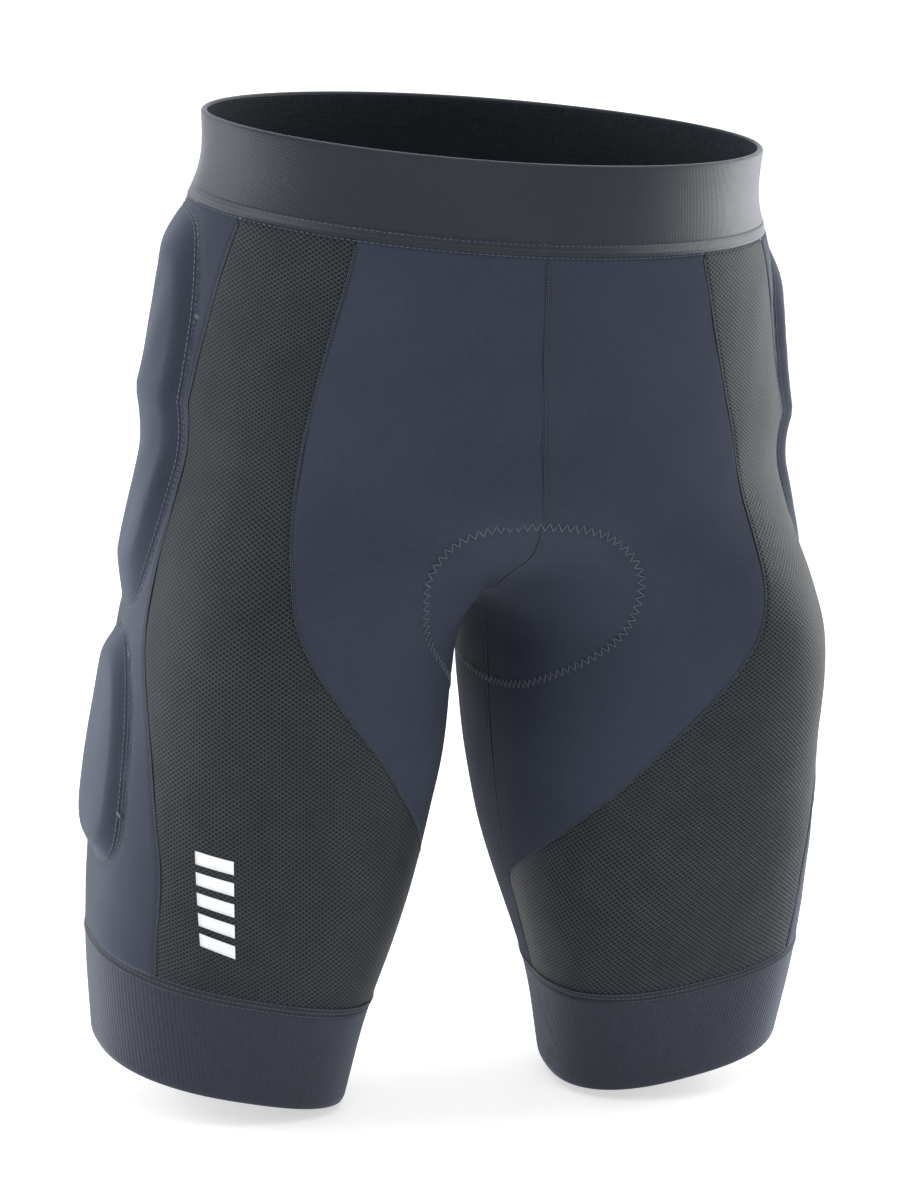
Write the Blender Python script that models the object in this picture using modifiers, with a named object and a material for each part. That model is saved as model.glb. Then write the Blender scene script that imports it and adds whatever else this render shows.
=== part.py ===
"""Padded impact shorts: knit panels, ribbed cuffs and an elastic waistband, with hip and
thigh pads in side pockets and a seat pad. Metres, +Z up, the front faces -Y, and the
wearer's left is +X. The origin is the middle of the waist opening."""

import math

import bmesh
import bpy
import numpy as np

for leftover in list(bpy.data.objects):
    bpy.data.objects.remove(leftover, do_unlink=True)

# Driving dimensions, in garment coordinates: heights run up from the hem.
TOP_Z = 0.5062            # waist edge
BAND_H = 0.0435           # waistband height
CUFF_H = 0.0587           # leg cuff height
WAIST_TILT = 0.193        # the waist ring is lower in front
WAIST_TILT_FROM, WAIST_TILT_TO = 0.30, 0.46
HEM_TILT_X, HEM_TILT_Y = 0.206, 0.070   # each hem is square to its splayed leg
HEM_TILT_FROM, HEM_TILT_TO = 0.16, 0.05
HEM_PIVOT_X = 0.12
AXIS_X = 0.105            # rays that shape a half start on this upright line

# Half-widths and depths of the body under the pads, as (height, value).
OUTER_X = ((0, 0.194), (0.05, 0.1988), (0.10, 0.1985), (0.145, 0.1962), (0.19, 0.1920),
           (0.25, 0.1866), (0.29, 0.1795), (0.325, 0.1726), (0.358, 0.1656), (0.40, 0.1645),
           (0.43, 0.1642), (0.452, 0.1605), (0.478, 0.1520), (0.52, 0.1545))
INNER_X = ((0, 0.0615), (0.05, 0.0522), (0.13, 0.026), (0.20, 0.0150), (0.225, 0.0130),
           (0.245, 0.0104), (0.255, 0.0066), (0.268, -0.0042), (0.282, -0.019), (0.297, -0.058),
           (0.34, -0.14), (0.40, -0.19), (0.60, -0.25))
FRONT_Y = ((0, -0.0569), (0.05, -0.0695), (0.15, -0.0977), (0.25, -0.1136), (0.36, -0.1030),
           (0.46, -0.1000), (0.515, -0.0884))
BACK_Y = ((0, 0.0633), (0.05, 0.0728), (0.15, 0.1150), (0.25, 0.1180), (0.36, 0.1150),
          (0.46, 0.1080), (0.515, 0.0900))
BLEND = ((0, 0.012), (0.20, 0.016), (0.25, 0.018), (0.28, 0.024), (0.305, 0.045),
         (0.36, 0.03), (0.42, 0.004), (0.60, 0.004))
# The legs' sections lean: their fronts sit further out than their backs.
TWIST = ((0, -0.06), (0.05, -0.03), (0.12, 0.02), (0.18, 0.04), (0.25, 0.09), (0.31, 0.03),
         (0.35, 0.0))
SQUARENESS = ((0, 2.5), (0.22, 2.5), (0.34, 2.05), (0.44, 1.93), (0.55, 1.93))

# Seams as (height, angle round the leg line): 0 is the inseam, 90 the front, 180 the side.
FRONT_MESH_SEAM = ((0.108, 0), (0.118, 16), (0.135, 38), (0.16, 58.5), (0.19, 74), (0.22, 88),
                   (0.25, 98), (0.29, 101.5), (0.34, 99), (0.40, 91), (0.465, 80.5))
SIDE_MESH_SEAM = ((0.0, 144), (0.07, 141), (0.13, 137.5), (0.165, 140), (0.216, 145),
                  (0.25, 149), (0.285, 151.7), (0.32, 153), (0.353, 152.5), (0.38, 151),
                  (0.414, 145.8), (0.465, 133))
BACK_SIDE_SEAM = ((0.0, 226), (0.15, 228), (0.22, 234), (0.30, 242), (0.40, 243), (0.465, 238))

# Cloth, seams and gaps.
SKIN_T = 0.0008
GAP = 0.0003
EDGE_GAP = 0.0002         # each panel stops this short of its seam line
SEAM_W = 0.0032
SEAM_T = 0.0005
BAND_SEAM_W = 0.0066
LINING_T = 0.0005
ELASTIC_T = 0.0010
GRIPPER_H = (0.0, 0.016)
FRONT_TIP_Z = 0.1115      # where the front panel's point reaches the inseam
CUFF_T = 0.0010
GRIPPER_T = 0.0008
BAND_T = 0.0008
RING_LIFT = 0.0011        # coverstitch rings stand this far off the cloth
STITCH_LIFT = 0.0024      # pad stitching and the transfer do too
SEAT_LIFT = 0.0034        # and so does the seat pad's zigzag
STITCH_ANGLE = 2.4        # degrees that the pad stitching is wide
MARK_T = 0.0004
MARK_HEIGHTS = (0.082, 0.143)
MARK_ANGLES = (114.0, 126.0)

# How finely each piece is cut up.
CUFF_COLUMNS, WAIST_COLUMNS = 30, 21
PAD_SPOKES, SEAT_SPOKES, STITCH_SPOKES = 18, 36, 28
SEAT_STEP, SEAT_STEPS = 0.002, 90
SIDE_ROWS = (0.1110, 0.1190, 0.1290, 0.2240, 0.2340, 0.2420, 0.2620, 0.2780,
             0.4300, 0.4460, 0.4580)
SIDE_COLUMNS = (155.5, 161.0, 167.0, 183.0, 199.0, 209.5, 218.0, 223.0, 228.5)

# Pads: middle angle, half-angle, middle height, half-height, corner power, proud height.
HIP_PAD = (192.0, 36.5, 0.3545, 0.1035, 5.0, 0.0072)
THIGH_PAD = (182.0, 27.5, 0.1765, 0.0655, 3.4, 0.0068)
PAD_SLOPE = 0.26          # share of a pad's half-size taken by its sloping rim
PAD_CLEAR = 0.0034        # from the side panel's face in to the foam under it
PAD_BED = 0.0009          # from the body surface in to the foam's back
LINING_DEPTH = 0.0019     # from the body surface in to the pocket lining

# Seat pad outline on each side: height and how far round from the inseam it reaches.
SEAT_FRONT = ((0.212, 0), (0.216, 23), (0.224, 36), (0.232, 46), (0.240, 54), (0.250, 62),
              (0.262, 69), (0.276, 71.5), (0.290, 69), (0.300, 63.5), (0.308, 54), (0.3115, 40))
SEAT_BACK_STRETCH = 1.14
SEAT_FOAM_T = 0.0070
SEAT_DEPTH = 0.0074       # from the body surface in to the seat pad's backing

COLORS = {
    "smooth_knit": ((0.046, 0.053, 0.070), 0.62), "mesh_knit": ((0.028, 0.034, 0.039), 0.70),
    "waistband": ((0.056, 0.066, 0.078), 0.50), "rib_knit": ((0.038, 0.042, 0.058), 0.75),
    "lining": ((0.012, 0.014, 0.017), 0.85), "foam": ((0.10, 0.11, 0.12), 0.90),
    "elastic": ((0.06, 0.06, 0.065), 0.80), "silicone": ((0.05, 0.05, 0.055), 0.45),
    "thread": ((0.022, 0.025, 0.032), 0.65), "seat_cover": ((0.03, 0.035, 0.045), 0.80),
    "transfer": ((0.80, 0.81, 0.82), 0.40),
}


def spline(knots, z):
    """A smooth curve through (height, value) knots, held flat beyond its ends."""
    x, y = np.array(knots, float).T
    z = np.clip(np.asarray(z, float), x[0], x[-1])
    step = np.diff(x)
    slope = np.diff(y) / step
    tangent = np.empty(len(x))
    tangent[1:-1] = (slope[:-1] * step[1:] + slope[1:] * step[:-1]) / (step[:-1] + step[1:])
    tangent[0], tangent[-1] = slope[0], slope[-1]
    i = np.clip(np.searchsorted(x, z) - 1, 0, len(x) - 2)
    t = (z - x[i]) / step[i]
    return ((2 * t**3 - 3 * t**2 + 1) * y[i] + (t**3 - 2 * t**2 + t) * step[i] * tangent[i]
            + (3 * t**2 - 2 * t**3) * y[i + 1] + (t**3 - t**2) * step[i] * tangent[i + 1])


def smooth_step(t):
    t = np.clip(t, 0, 1)
    return t * t * (3 - 2 * t)


def body(x, y, z):
    """Below zero inside the body: two leg tubes that melt into one trunk."""
    outer = spline(OUTER_X, z)
    inner = np.maximum(spline(INNER_X, z), -outer)
    front, back = spline(FRONT_Y, z), spline(BACK_Y, z)
    half_w, half_d = (outer - inner) / 2, (back - front) / 2
    mid_x = (outer + inner) / 2
    power = spline(SQUARENESS, z)
    size = np.sqrt(half_w * half_d)
    from_mid = y - (front + back) / 2
    mid_x = mid_x - spline(TWIST, z) * from_mid
    depth = np.abs(from_mid / half_d) ** power
    left = ((np.abs((x - mid_x) / half_w) ** power + depth) ** (1 / power) - 1) * size
    right = ((np.abs((x + mid_x) / half_w) ** power + depth) ** (1 / power) - 1) * size
    blend = np.maximum(spline(BLEND, z), 0.003)
    mix = np.maximum(blend - np.abs(left - right), 0) / blend
    return np.minimum(left, right) - mix * mix * blend / 4


def root(low, high, inside, steps=34):
    """Halves the way from low, which is inside, to high, which isn't."""
    for _ in range(steps):
        mid = (low + high) / 2
        here = inside(mid)
        low, high = np.where(here, mid, low), np.where(here, high, mid)
    return (low + high) / 2


def crotch_height():
    """Where the two leg tubes meet over the gap between the legs."""
    middle = (spline(FRONT_Y, 0.25) + spline(BACK_Y, 0.25)) / 2
    return float(root(0.34, 0.20, lambda z: body(0.0, middle, z) < 0))


CROTCH_Z = crotch_height()


def centre_y(z, side):
    """Where the body's surface crosses x = 0 at a height above the crotch."""
    z = np.asarray(z, float)
    start = (spline(FRONT_Y, z) + spline(BACK_Y, z)) / 2
    return root(start, start + side * 0.2, lambda y: body(0 * y, y, z) < 0)


def centre_angles(z):
    """The half's first and last angle at each height: the inseam, or the centre lines."""
    z = np.asarray(z, float)
    joined = z > CROTCH_Z
    front = np.degrees(np.arctan2(-centre_y(z, -1), AXIS_X))
    back = 360 - np.degrees(np.arctan2(centre_y(z, 1), AXIS_X))
    return np.where(joined, front, 0.0), np.where(joined, back, 360.0)


def on_body(z, angle):
    """The left half's surface points at heights z and angles round the leg line."""
    z, angle = np.broadcast_arrays(np.asarray(z, float), np.radians(angle))
    dx, dy = -np.cos(angle), -np.sin(angle)
    reach = root(np.zeros(z.shape), np.full(z.shape, 0.30),
                 lambda r: (body(AXIS_X + r * dx, r * dy, z) < 0) & (AXIS_X + r * dx > -1e-4))
    return np.stack([AXIS_X + reach * dx, reach * dy, z], -1)


def normals(points):
    """Outward unit normals of the body's surface."""
    step = 1e-5
    grad = np.empty(points.shape)
    for axis in range(3):
        move = np.zeros(3)
        move[axis] = step
        ahead, behind = (points + move), (points - move)
        grad[..., axis] = body(*np.moveaxis(ahead, -1, 0)) - body(*np.moveaxis(behind, -1, 0))
    return grad / np.linalg.norm(grad, axis=-1, keepdims=True)


WAIST_MID = np.array([0.0, 0.0, TOP_Z])


def posed(points):
    """Tilts the waist ring and the hems, and moves the origin to the waist opening."""
    out = np.array(points, float)
    z = points[..., 2]
    hem = smooth_step((HEM_TILT_FROM - z) / (HEM_TILT_FROM - HEM_TILT_TO))
    waist = smooth_step((z - WAIST_TILT_FROM) / (WAIST_TILT_TO - WAIST_TILT_FROM))
    out[..., 2] += hem * (HEM_TILT_X * (np.abs(points[..., 0]) - HEM_PIVOT_X)
                          + HEM_TILT_Y * points[..., 1])
    out[..., 2] += waist * WAIST_TILT * points[..., 1]
    return out - WAIST_MID


def pad_level(pad, z, angle):
    """0 at a pad's middle and 1 on its outline."""
    mid_angle, half_angle, mid_z, half_z, power, _ = pad
    across = np.abs(angle - mid_angle) / half_angle
    along = np.abs(z - mid_z) / half_z
    return (across**power + along**power) ** (1 / power)


def bulge(z, angle):
    """How far the side panel is pushed out by the pads under it."""
    rise = 0.0
    for pad in (HIP_PAD, THIGH_PAD):
        rise = rise + pad[-1] * smooth_step((1 - pad_level(pad, z, angle)) / PAD_SLOPE)
    return rise


def layer(z, angle, depth, side):
    """Posed points of one half at a depth inside the body's surface."""
    base = on_body(z, angle)
    out = base - normals(base) * np.broadcast_to(depth, base.shape[:-1])[..., None]
    out[..., 0] *= side
    return posed(out)


# Heights of the cloth's rows: fine near the crotch, where its outline turns fast.
SEAM_CLEAR = 0.0004
LEG_ROWS = np.linspace(CUFF_H + SEAM_CLEAR, 0.2000, 9)
SADDLE_LOW = CROTCH_Z - 0.0013 - 0.0330 * np.linspace(1, 0, 4) ** 2
SADDLE_HIGH = CROTCH_Z + 0.0013 + 0.0430 * np.linspace(0, 1, 8) ** 2
TRUNK_ROWS = np.linspace(0.3160, TOP_Z - BAND_H - SEAM_CLEAR, 8)
ROWS = np.concatenate([LEG_ROWS, SADDLE_LOW, SADDLE_HIGH, TRUNK_ROWS])


def seam_half_angle(seam, z, half_width):
    """The angle that a half width covers across a seam, allowing for the seam's slant."""
    angle = spline(seam, z) if isinstance(seam, tuple) else seam
    point = on_body(z, angle)
    radius = np.hypot(point[..., 0] - AXIS_X, point[..., 1])
    turn = np.radians(angle)
    across = np.stack([-np.cos(turn), -np.sin(turn)], -1)
    normal = normals(point)[..., :2]
    facing = np.maximum(np.abs((across * normal).sum(-1)), 0.35)
    slant = np.gradient(np.radians(angle), z) * radius if np.size(z) > 1 else 0.0
    return np.degrees(half_width / radius * facing * np.hypot(1, slant))


def columns(z, start, end, count):
    """Angles across a panel: its edges, the seam's inner edges, and even steps between."""
    inset_a = start + seam_step(start, z, EDGE_GAP)
    inset_b = end - seam_step(end, z, EDGE_GAP)
    tape_a = start + seam_step(start, z, SEAM_W / 2)
    tape_b = end - seam_step(end, z, SEAM_W / 2)
    short = tape_a + EDGE_GAP > tape_b
    tape_a = np.where(short, inset_a + (inset_b - inset_a) * 0.3, tape_a)
    tape_b = np.where(short, inset_a + (inset_b - inset_a) * 0.7, tape_b)
    even = np.linspace(0, 1, count)[None, :]
    middle = tape_a[:, None] + (tape_b - tape_a)[:, None] * even
    return np.concatenate([inset_a[:, None], middle, inset_b[:, None]], axis=1)


def seam_step(angles, z, width):
    return seam_half_angle(np.asarray(angles, float), z, width)


def new_object(name, mesh, slot, collection):
    obj = bpy.data.objects.new(name, mesh)
    obj.data.materials.append(MATERIALS[slot])
    collection.objects.link(obj)
    mesh.shade_smooth()
    return obj


def grid_faces(rows, cols, wrap_cols=False, wrap_rows=False):
    faces = []
    for i in range(rows if wrap_rows else rows - 1):
        for j in range(cols if wrap_cols else cols - 1):
            a, b = i * cols + j, i * cols + (j + 1) % cols
            c, d = (i + 1) % rows * cols + (j + 1) % cols, (i + 1) % rows * cols + j
            faces.append((a, b, c, d))
    return faces


def split(points, faces):
    """Cuts each four-sided face along its shorter diagonal."""
    cut = []
    for face in faces:
        if len(face) != 4:
            cut.append(face)
            continue
        a, b, c, d = face
        if np.linalg.norm(points[a] - points[c]) <= np.linalg.norm(points[b] - points[d]) + 1e-7:
            cut += [(a, b, c), (a, c, d)]
        else:
            cut += [(a, b, d), (b, c, d)]
    return cut


def cloth(name, grid, slot, side, thickness=SKIN_T, wrap=False):
    """A cloth sheet whose outer face is the grid, thickened inwards."""
    rows, cols = grid.shape[:2]
    points = grid.reshape(-1, 3)
    faces = split(points, grid_faces(rows, cols, wrap_cols=wrap))
    if side < 0:
        faces = [face[::-1] for face in faces]
    mesh = bpy.data.meshes.new(name)
    mesh.from_pydata(points.tolist(), [], faces)
    obj = new_object(name, mesh, slot, PARTS)
    shell = obj.modifiers.new("thickness", "SOLIDIFY")
    shell.thickness = thickness
    shell.offset = -1.0
    shell.use_even_offset = False
    return obj


def solid(name, points, faces, slot):
    """A closed body from points and faces, its faces turned outwards."""
    points = np.asarray(points).reshape(-1, 3)
    mesh = bpy.data.meshes.new(name)
    mesh.from_pydata(points.tolist(), [], split(points, faces))
    made = bmesh.new()
    made.from_mesh(mesh)
    bmesh.ops.recalc_face_normals(made, faces=made.faces)
    made.to_mesh(mesh)
    made.free()
    return new_object(name, mesh, slot, PARTS)


def loft(name, sections, slot, ring=False):
    """A solid through closed sections, capped at its ends unless its path is a ring."""
    rows, cols = sections.shape[:2]
    faces = grid_faces(rows, cols, wrap_cols=True, wrap_rows=ring)
    if not ring:
        faces.append(tuple(range(cols)))
        faces.append(tuple((rows - 1) * cols + j for j in range(cols)))
    return solid(name, sections, faces, slot)


def disc_faces(rings, spokes, first=0):
    """Faces of a round patch: a middle point, then rings of points outwards."""
    faces = [(first, first + 1 + j, first + 1 + (j + 1) % spokes) for j in range(spokes)]
    for i in range(rings - 1):
        for j in range(spokes):
            a, b = 1 + i * spokes + j, 1 + i * spokes + (j + 1) % spokes
            faces.append((first + a, first + a + spokes, first + b + spokes, first + b))
    return faces


def lens(name, outer, inner, spokes, slot):
    """A solid between two round patches whose rims are joined."""
    rings = (len(outer) - 1) // spokes
    rim = 1 + (rings - 1) * spokes
    faces = disc_faces(rings, spokes) + disc_faces(rings, spokes, len(outer))
    for j in range(spokes):
        a, b = rim + j, rim + (j + 1) % spokes
        faces.append((a, b, b + len(outer), a + len(outer)))
    return solid(name, np.concatenate([outer, inner]), faces, slot)


def make_panels(side, tag):
    """The four cloth panels of one half."""
    first, last = centre_angles(ROWS)
    front = np.maximum(spline(FRONT_MESH_SEAM, ROWS), first)
    tip = ROWS > FRONT_TIP_Z
    rows = ROWS[tip]
    angles = columns(rows, first[tip], front[tip], 6)
    cloth(f"front_panel_{tag}", layer(rows[:, None], angles, 0.0, side), "smooth_knit", side)
    angles = columns(ROWS, front, spline(SIDE_MESH_SEAM, ROWS), 5)
    cloth(f"mesh_panel_{tag}", layer(ROWS[:, None], angles, 0.0, side), "mesh_knit", side)
    angles = columns(ROWS, spline(BACK_SIDE_SEAM, ROWS), last, 8)
    cloth(f"back_panel_{tag}", layer(ROWS[:, None], angles, 0.0, side), "smooth_knit", side)
    rows = np.unique(np.concatenate([ROWS, SIDE_ROWS]))
    ends = columns(rows, spline(SIDE_MESH_SEAM, rows), spline(BACK_SIDE_SEAM, rows), 2)
    inner = np.sort(np.array(SIDE_COLUMNS))[None, :] + 0 * rows[:, None]
    low, high = ends[:, 1:2], ends[:, 2:3]
    margin = 1.0 + 0.5 * np.arange(inner.shape[1])[None, :]
    inner = np.clip(inner, low + margin, high - margin[:, ::-1])
    angles = np.concatenate([ends[:, :2], inner, ends[:, 2:]], axis=1)
    grid = layer(rows[:, None], angles, -bulge(rows[:, None], angles), side)
    cloth(f"side_panel_{tag}", grid, "smooth_knit", side)


def strip_sections(z, angle, half, side, lift):
    """Four-point sections of a flat seam tape that lies on the cloth."""
    z = np.asarray(z, float)[:, None]
    angles = np.stack([angle - half, angle + half, angle + half, angle - half], -1)
    depth = -np.array([lift + SEAM_T, lift + SEAM_T, lift, lift])[None, :]
    return layer(z, angles, depth, side)


def make_side_seams(side, tag):
    """Flat seams between the panels of one half, and the inseam."""
    inset = SEAM_W / 2 - 0.0001
    for name, seam in (("side_mesh_seam", SIDE_MESH_SEAM), ("back_side_seam", BACK_SIDE_SEAM)):
        rows = ROWS[ROWS > CUFF_H + BAND_SEAM_W / 2]
        rows = rows[rows < TOP_Z - BAND_H - BAND_SEAM_W / 2]
        angle = spline(seam, rows)
        half = seam_half_angle(angle, rows, inset)
        loft(f"{name}_{tag}", strip_sections(rows, angle, half, side, GAP), "thread")
    rows = ROWS[(ROWS > FRONT_TIP_Z + 0.012) & (ROWS < TOP_Z - BAND_H - BAND_SEAM_W / 2)]
    angle = spline(FRONT_MESH_SEAM, rows)
    half = seam_half_angle(angle, rows, inset)
    loft(f"front_mesh_seam_{tag}", strip_sections(rows, angle, half, side, GAP), "thread")
    rows = ROWS[(ROWS > CUFF_H + BAND_SEAM_W / 2) & (ROWS < CROTCH_Z - 0.004)]
    angle = 0.0 * rows
    half = seam_half_angle(angle, rows, inset)
    loft(f"inseam_{tag}", strip_sections(rows, angle, half, side, GAP), "thread")


def make_centre_seam(name, end):
    """The seam down the front or the back of the trunk, across both halves."""
    rows = ROWS[(ROWS > CROTCH_Z + 0.004) & (ROWS < TOP_Z - BAND_H - BAND_SEAM_W / 2)]
    angle = centre_angles(rows)[end]
    half = seam_half_angle(angle, rows, SEAM_W / 2 - 0.0001)
    beside = angle + half if end == 0 else angle - half
    z = rows[:, None]
    angles = np.stack([beside, beside], -1)
    left = layer(z, angles, -np.array([[GAP + SEAM_T, GAP]]), 1)
    right = layer(z, angles, -np.array([[GAP + SEAM_T, GAP]]), -1)
    sections = np.stack([left[:, 0], right[:, 0], right[:, 1], left[:, 1]], axis=1)
    loft(name, sections, "thread")


def leg_ring(heights, depths, side, count):
    """Sections of a ring round one leg, one for each angle."""
    angles = np.arange(count) * 360.0 / count
    z = np.broadcast_to(np.array(heights)[None, :], (count, len(heights)))
    return layer(z, angles[:, None], np.array(depths)[None, :], side)


def make_leg_end(side, tag):
    """The ribbed cuff, its coverstitch and the grip ring inside it."""
    rows = np.array([0.0, 0.016, 0.038, CUFF_H - SEAM_CLEAR])
    angles = np.arange(CUFF_COLUMNS) * 360.0 / CUFF_COLUMNS
    grid = layer(rows[:, None], angles[None, :], 0.0, side)
    cloth(f"leg_cuff_{tag}", grid, "rib_knit", side, CUFF_T, wrap=True)
    low, high = CUFF_H - BAND_SEAM_W / 2, CUFF_H + BAND_SEAM_W / 2
    top, under = -(RING_LIFT + SEAM_T), -RING_LIFT
    ring = leg_ring((low, high, high, low), (top, top, under, under), side, CUFF_COLUMNS)
    loft(f"cuff_seam_{tag}", ring, "thread", ring=True)
    low, high = GRIPPER_H
    near, far = CUFF_T + 2 * GAP, CUFF_T + 2 * GAP + GRIPPER_T
    ring = leg_ring((low, high, high, low), (near, near, far, far), side, CUFF_COLUMNS)
    loft(f"cuff_gripper_{tag}", ring, "silicone", ring=True)


def waist_ring(heights, depths, count):
    """Sections of a ring round the waist, from the front centre and back to it."""
    z = np.broadcast_to(np.array(heights, float)[None, :], (count + 1, len(heights)))
    first, last = centre_angles(np.array(heights, float))
    share = np.linspace(0, 1, count + 1)[:, None]
    angles = first + (last - first) * share
    depth = np.array(depths)[None, :]
    left = layer(z, angles, depth, 1)
    right = layer(z, angles, depth, -1)[::-1]
    return np.concatenate([left, right[1:-1]])


def make_waistband():
    """The folded band, the elastic in it, and the coverstitch that joins it on."""
    base = TOP_Z - BAND_H
    wall, room = BAND_T, ELASTIC_T + 3 * GAP
    inner = 2 * wall + room
    turn = inner / 2
    low, middle = base + 0.004, base + BAND_H / 2
    arc = [(turn - turn * math.cos(a), TOP_Z - turn + turn * math.sin(a))
           for a in np.radians([0, 60, 120, 180])]
    section = [(0, base), (0, low), (0, middle), *arc, (inner, middle), (inner, low),
               (inner, base), (wall + room, base), (wall + room, low), (wall + room, middle),
               (wall + room, TOP_Z - turn), (turn, TOP_Z - wall * 1.4), (wall, TOP_Z - turn),
               (wall, middle), (wall, low), (wall, base)]
    depths, heights = zip(*section)
    ring = waist_ring(heights, depths, WAIST_COLUMNS)
    loft("waistband_casing", ring, "waistband", ring=True)
    high = TOP_Z - turn - 0.001
    near, far = wall + 1.5 * GAP, wall + 1.5 * GAP + ELASTIC_T
    ring = waist_ring((low, middle, high, high, middle, low), (near,) * 3 + (far,) * 3, WAIST_COLUMNS)
    loft("waistband_elastic", ring, "elastic", ring=True)
    low, high = base - BAND_SEAM_W / 2, base + BAND_SEAM_W / 2
    top, under = -(RING_LIFT + SEAM_T), -RING_LIFT
    ring = waist_ring((low, high, high, low), (top, top, under, under), WAIST_COLUMNS)
    loft("waistband_seam", ring, "thread", ring=True)


def pad_points(pad, share, spokes):
    """Heights and angles of a pad's middle and of rings at shares of its outline."""
    mid_angle, half_angle, mid_z, half_z, power, _ = pad
    turn = np.arange(spokes) * 2 * math.pi / spokes
    reach = (np.abs(np.cos(turn))**power + np.abs(np.sin(turn))**power) ** (-1 / power)
    share = np.array(share)[:, None]
    angles = mid_angle + half_angle * share * reach * np.cos(turn)
    heights = mid_z + half_z * share * reach * np.sin(turn)
    return np.append(mid_z, heights), np.append(mid_angle, angles)


def make_pad(name, lining, pad, side):
    """One foam pad, and the pocket lining that it lies on."""
    z, angle = pad_points(pad, (0.35, 0.60, 0.72, 0.81), PAD_SPOKES)
    top = layer(z, angle, PAD_CLEAR - bulge(z, angle), side)
    lens(name, top, layer(z, angle, PAD_BED, side), PAD_SPOKES, "foam")
    z, angle = pad_points(pad, (0.35, 0.60, 0.94), PAD_SPOKES)
    top, under = layer(z, angle, LINING_DEPTH, side), layer(z, angle, LINING_DEPTH + LINING_T, side)
    lens(lining, top, under, PAD_SPOKES, "lining")


def make_pad_stitch(name, pad, side):
    """The stitching round a pad, as a thin raised ring on the side panel."""
    smaller = (pad[0], pad[1] - STITCH_ANGLE, pad[2], pad[3] - SEAM_W, *pad[4:])
    inner = [row[1:] for row in pad_points(smaller, (1.0,), STITCH_SPOKES)]
    outer = [row[1:] for row in pad_points(pad, (1.0,), STITCH_SPOKES)]
    corners = [(*inner, STITCH_LIFT + SEAM_T), (*outer, STITCH_LIFT + SEAM_T),
               (*outer, STITCH_LIFT), (*inner, STITCH_LIFT)]
    ring = np.stack([layer(z, a, -lift - bulge(z, a), side) for z, a, lift in corners], axis=1)
    loft(name, ring, "thread", ring=True)


def seat_outline(point):
    """Below zero inside the seat pad's outline."""
    x, y, z = np.moveaxis(point, -1, 0)
    around = np.degrees(np.arctan2(np.abs(y), AXIS_X - np.abs(x)))
    stretch = np.where(y > 0, SEAT_BACK_STRETCH, 1.0)
    height = np.where(z > CROTCH_Z, CROTCH_Z + (z - CROTCH_Z) / stretch, z)
    low, high = SEAT_FRONT[0][0], SEAT_FRONT[-1][0]
    wide = around / stretch - spline(SEAT_FRONT, height)
    return np.maximum(wide, np.maximum(low - height, height - high) * 2e3)


def seat_paths(spokes):
    """Walks over the body's surface from the crotch point, out to the seat pad's outline."""
    middle = (spline(FRONT_Y, CROTCH_Z) + spline(BACK_Y, CROTCH_Z)) / 2
    turn = np.arange(spokes) * 2 * math.pi / spokes
    turn = turn + 0.37 * np.sin(2 * turn)
    point = np.tile([0.0, float(middle), CROTCH_Z], (spokes, 1))
    heading = np.stack([np.cos(turn), np.sin(turn), 0 * turn], -1)
    path = []
    for _ in range(SEAT_STEPS):
        normal = normals(point)
        heading = heading - normal * (heading * normal).sum(-1, keepdims=True)
        heading /= np.linalg.norm(heading, axis=-1, keepdims=True)
        path.append(point)
        point = point + SEAT_STEP * heading
        for _ in range(3):
            step = body(*np.moveaxis(point, -1, 0))[:, None]
            point = point - normals(point) * step
    path = np.array(path)
    outside = np.array([seat_outline(row) > 0 for row in path])
    reach = outside.argmax(axis=0).astype(float)
    for _ in range(2):
        reach = (np.roll(reach, 1) + 2 * reach + np.roll(reach, -1)) / 4
    return path, reach


def seat_rings(share, depth):
    """The seat pad's middle and rings at shares of its outline, each at its own depth."""
    path, reach = SEAT_PATHS
    spokes = len(reach)
    rows = [path[0, :1]]
    for part in share:
        at = np.minimum(reach * part, len(path) - 1.001)
        low = at.astype(int)
        rest = (at - low)[:, None]
        pick = np.arange(spokes)
        rows.append(path[low, pick] * (1 - rest) + path[low + 1, pick] * rest)
    points = np.concatenate(rows)
    depths = np.concatenate([[depth[0]], np.repeat(depth[1:], spokes)])
    return posed(points - normals(points) * depths[:, None])


def make_seat_pad():
    """The seat pad inside the crotch: backing, foam and cover, and its zigzag outside."""
    share = (0.3, 0.57, 0.8, 0.94)
    flat = np.zeros(5)
    foam = SEAT_FOAM_T * np.array([1, 1, 0.95, 0.70, 0.24])
    back = SEAT_DEPTH
    lens("seat_pad_backing", seat_rings(share, flat + back), seat_rings(share, flat + back + LINING_T),
         SEAT_SPOKES, "lining")
    bed = back + LINING_T + 2 * GAP
    lens("seat_pad_foam", seat_rings(share, flat + bed), seat_rings(share, foam + bed),
         SEAT_SPOKES, "foam")
    over = bed + GAP + 0.0006
    lens("seat_pad_cover", seat_rings(share, foam + over), seat_rings(share, foam + over + LINING_T),
         SEAT_SPOKES, "seat_cover")
    rims = [seat_rings((part,), np.array([0, -lift]))[1:] for part, lift in
            ((0.985, SEAT_LIFT + SEAM_T), (1.02, SEAT_LIFT + SEAM_T), (1.02, SEAT_LIFT),
             (0.985, SEAT_LIFT))]
    loft("seat_pad_stitch", np.stack(rims, axis=1), "thread", ring=True)


def make_thigh_mark():
    """A plain light transfer on the wearer's right thigh."""
    heights = np.linspace(*MARK_HEIGHTS, 5)
    angles = np.linspace(*MARK_ANGLES, 3)
    outer = layer(heights[:, None], angles[None, :], -(STITCH_LIFT + MARK_T), -1)
    inner = layer(heights[:, None], angles[None, :], -STITCH_LIFT, -1)
    sections = np.concatenate([outer, inner[:, ::-1]], axis=1)
    loft("thigh_mark", sections, "transfer")


SEAT_PATHS = seat_paths(SEAT_SPOKES)

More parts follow.
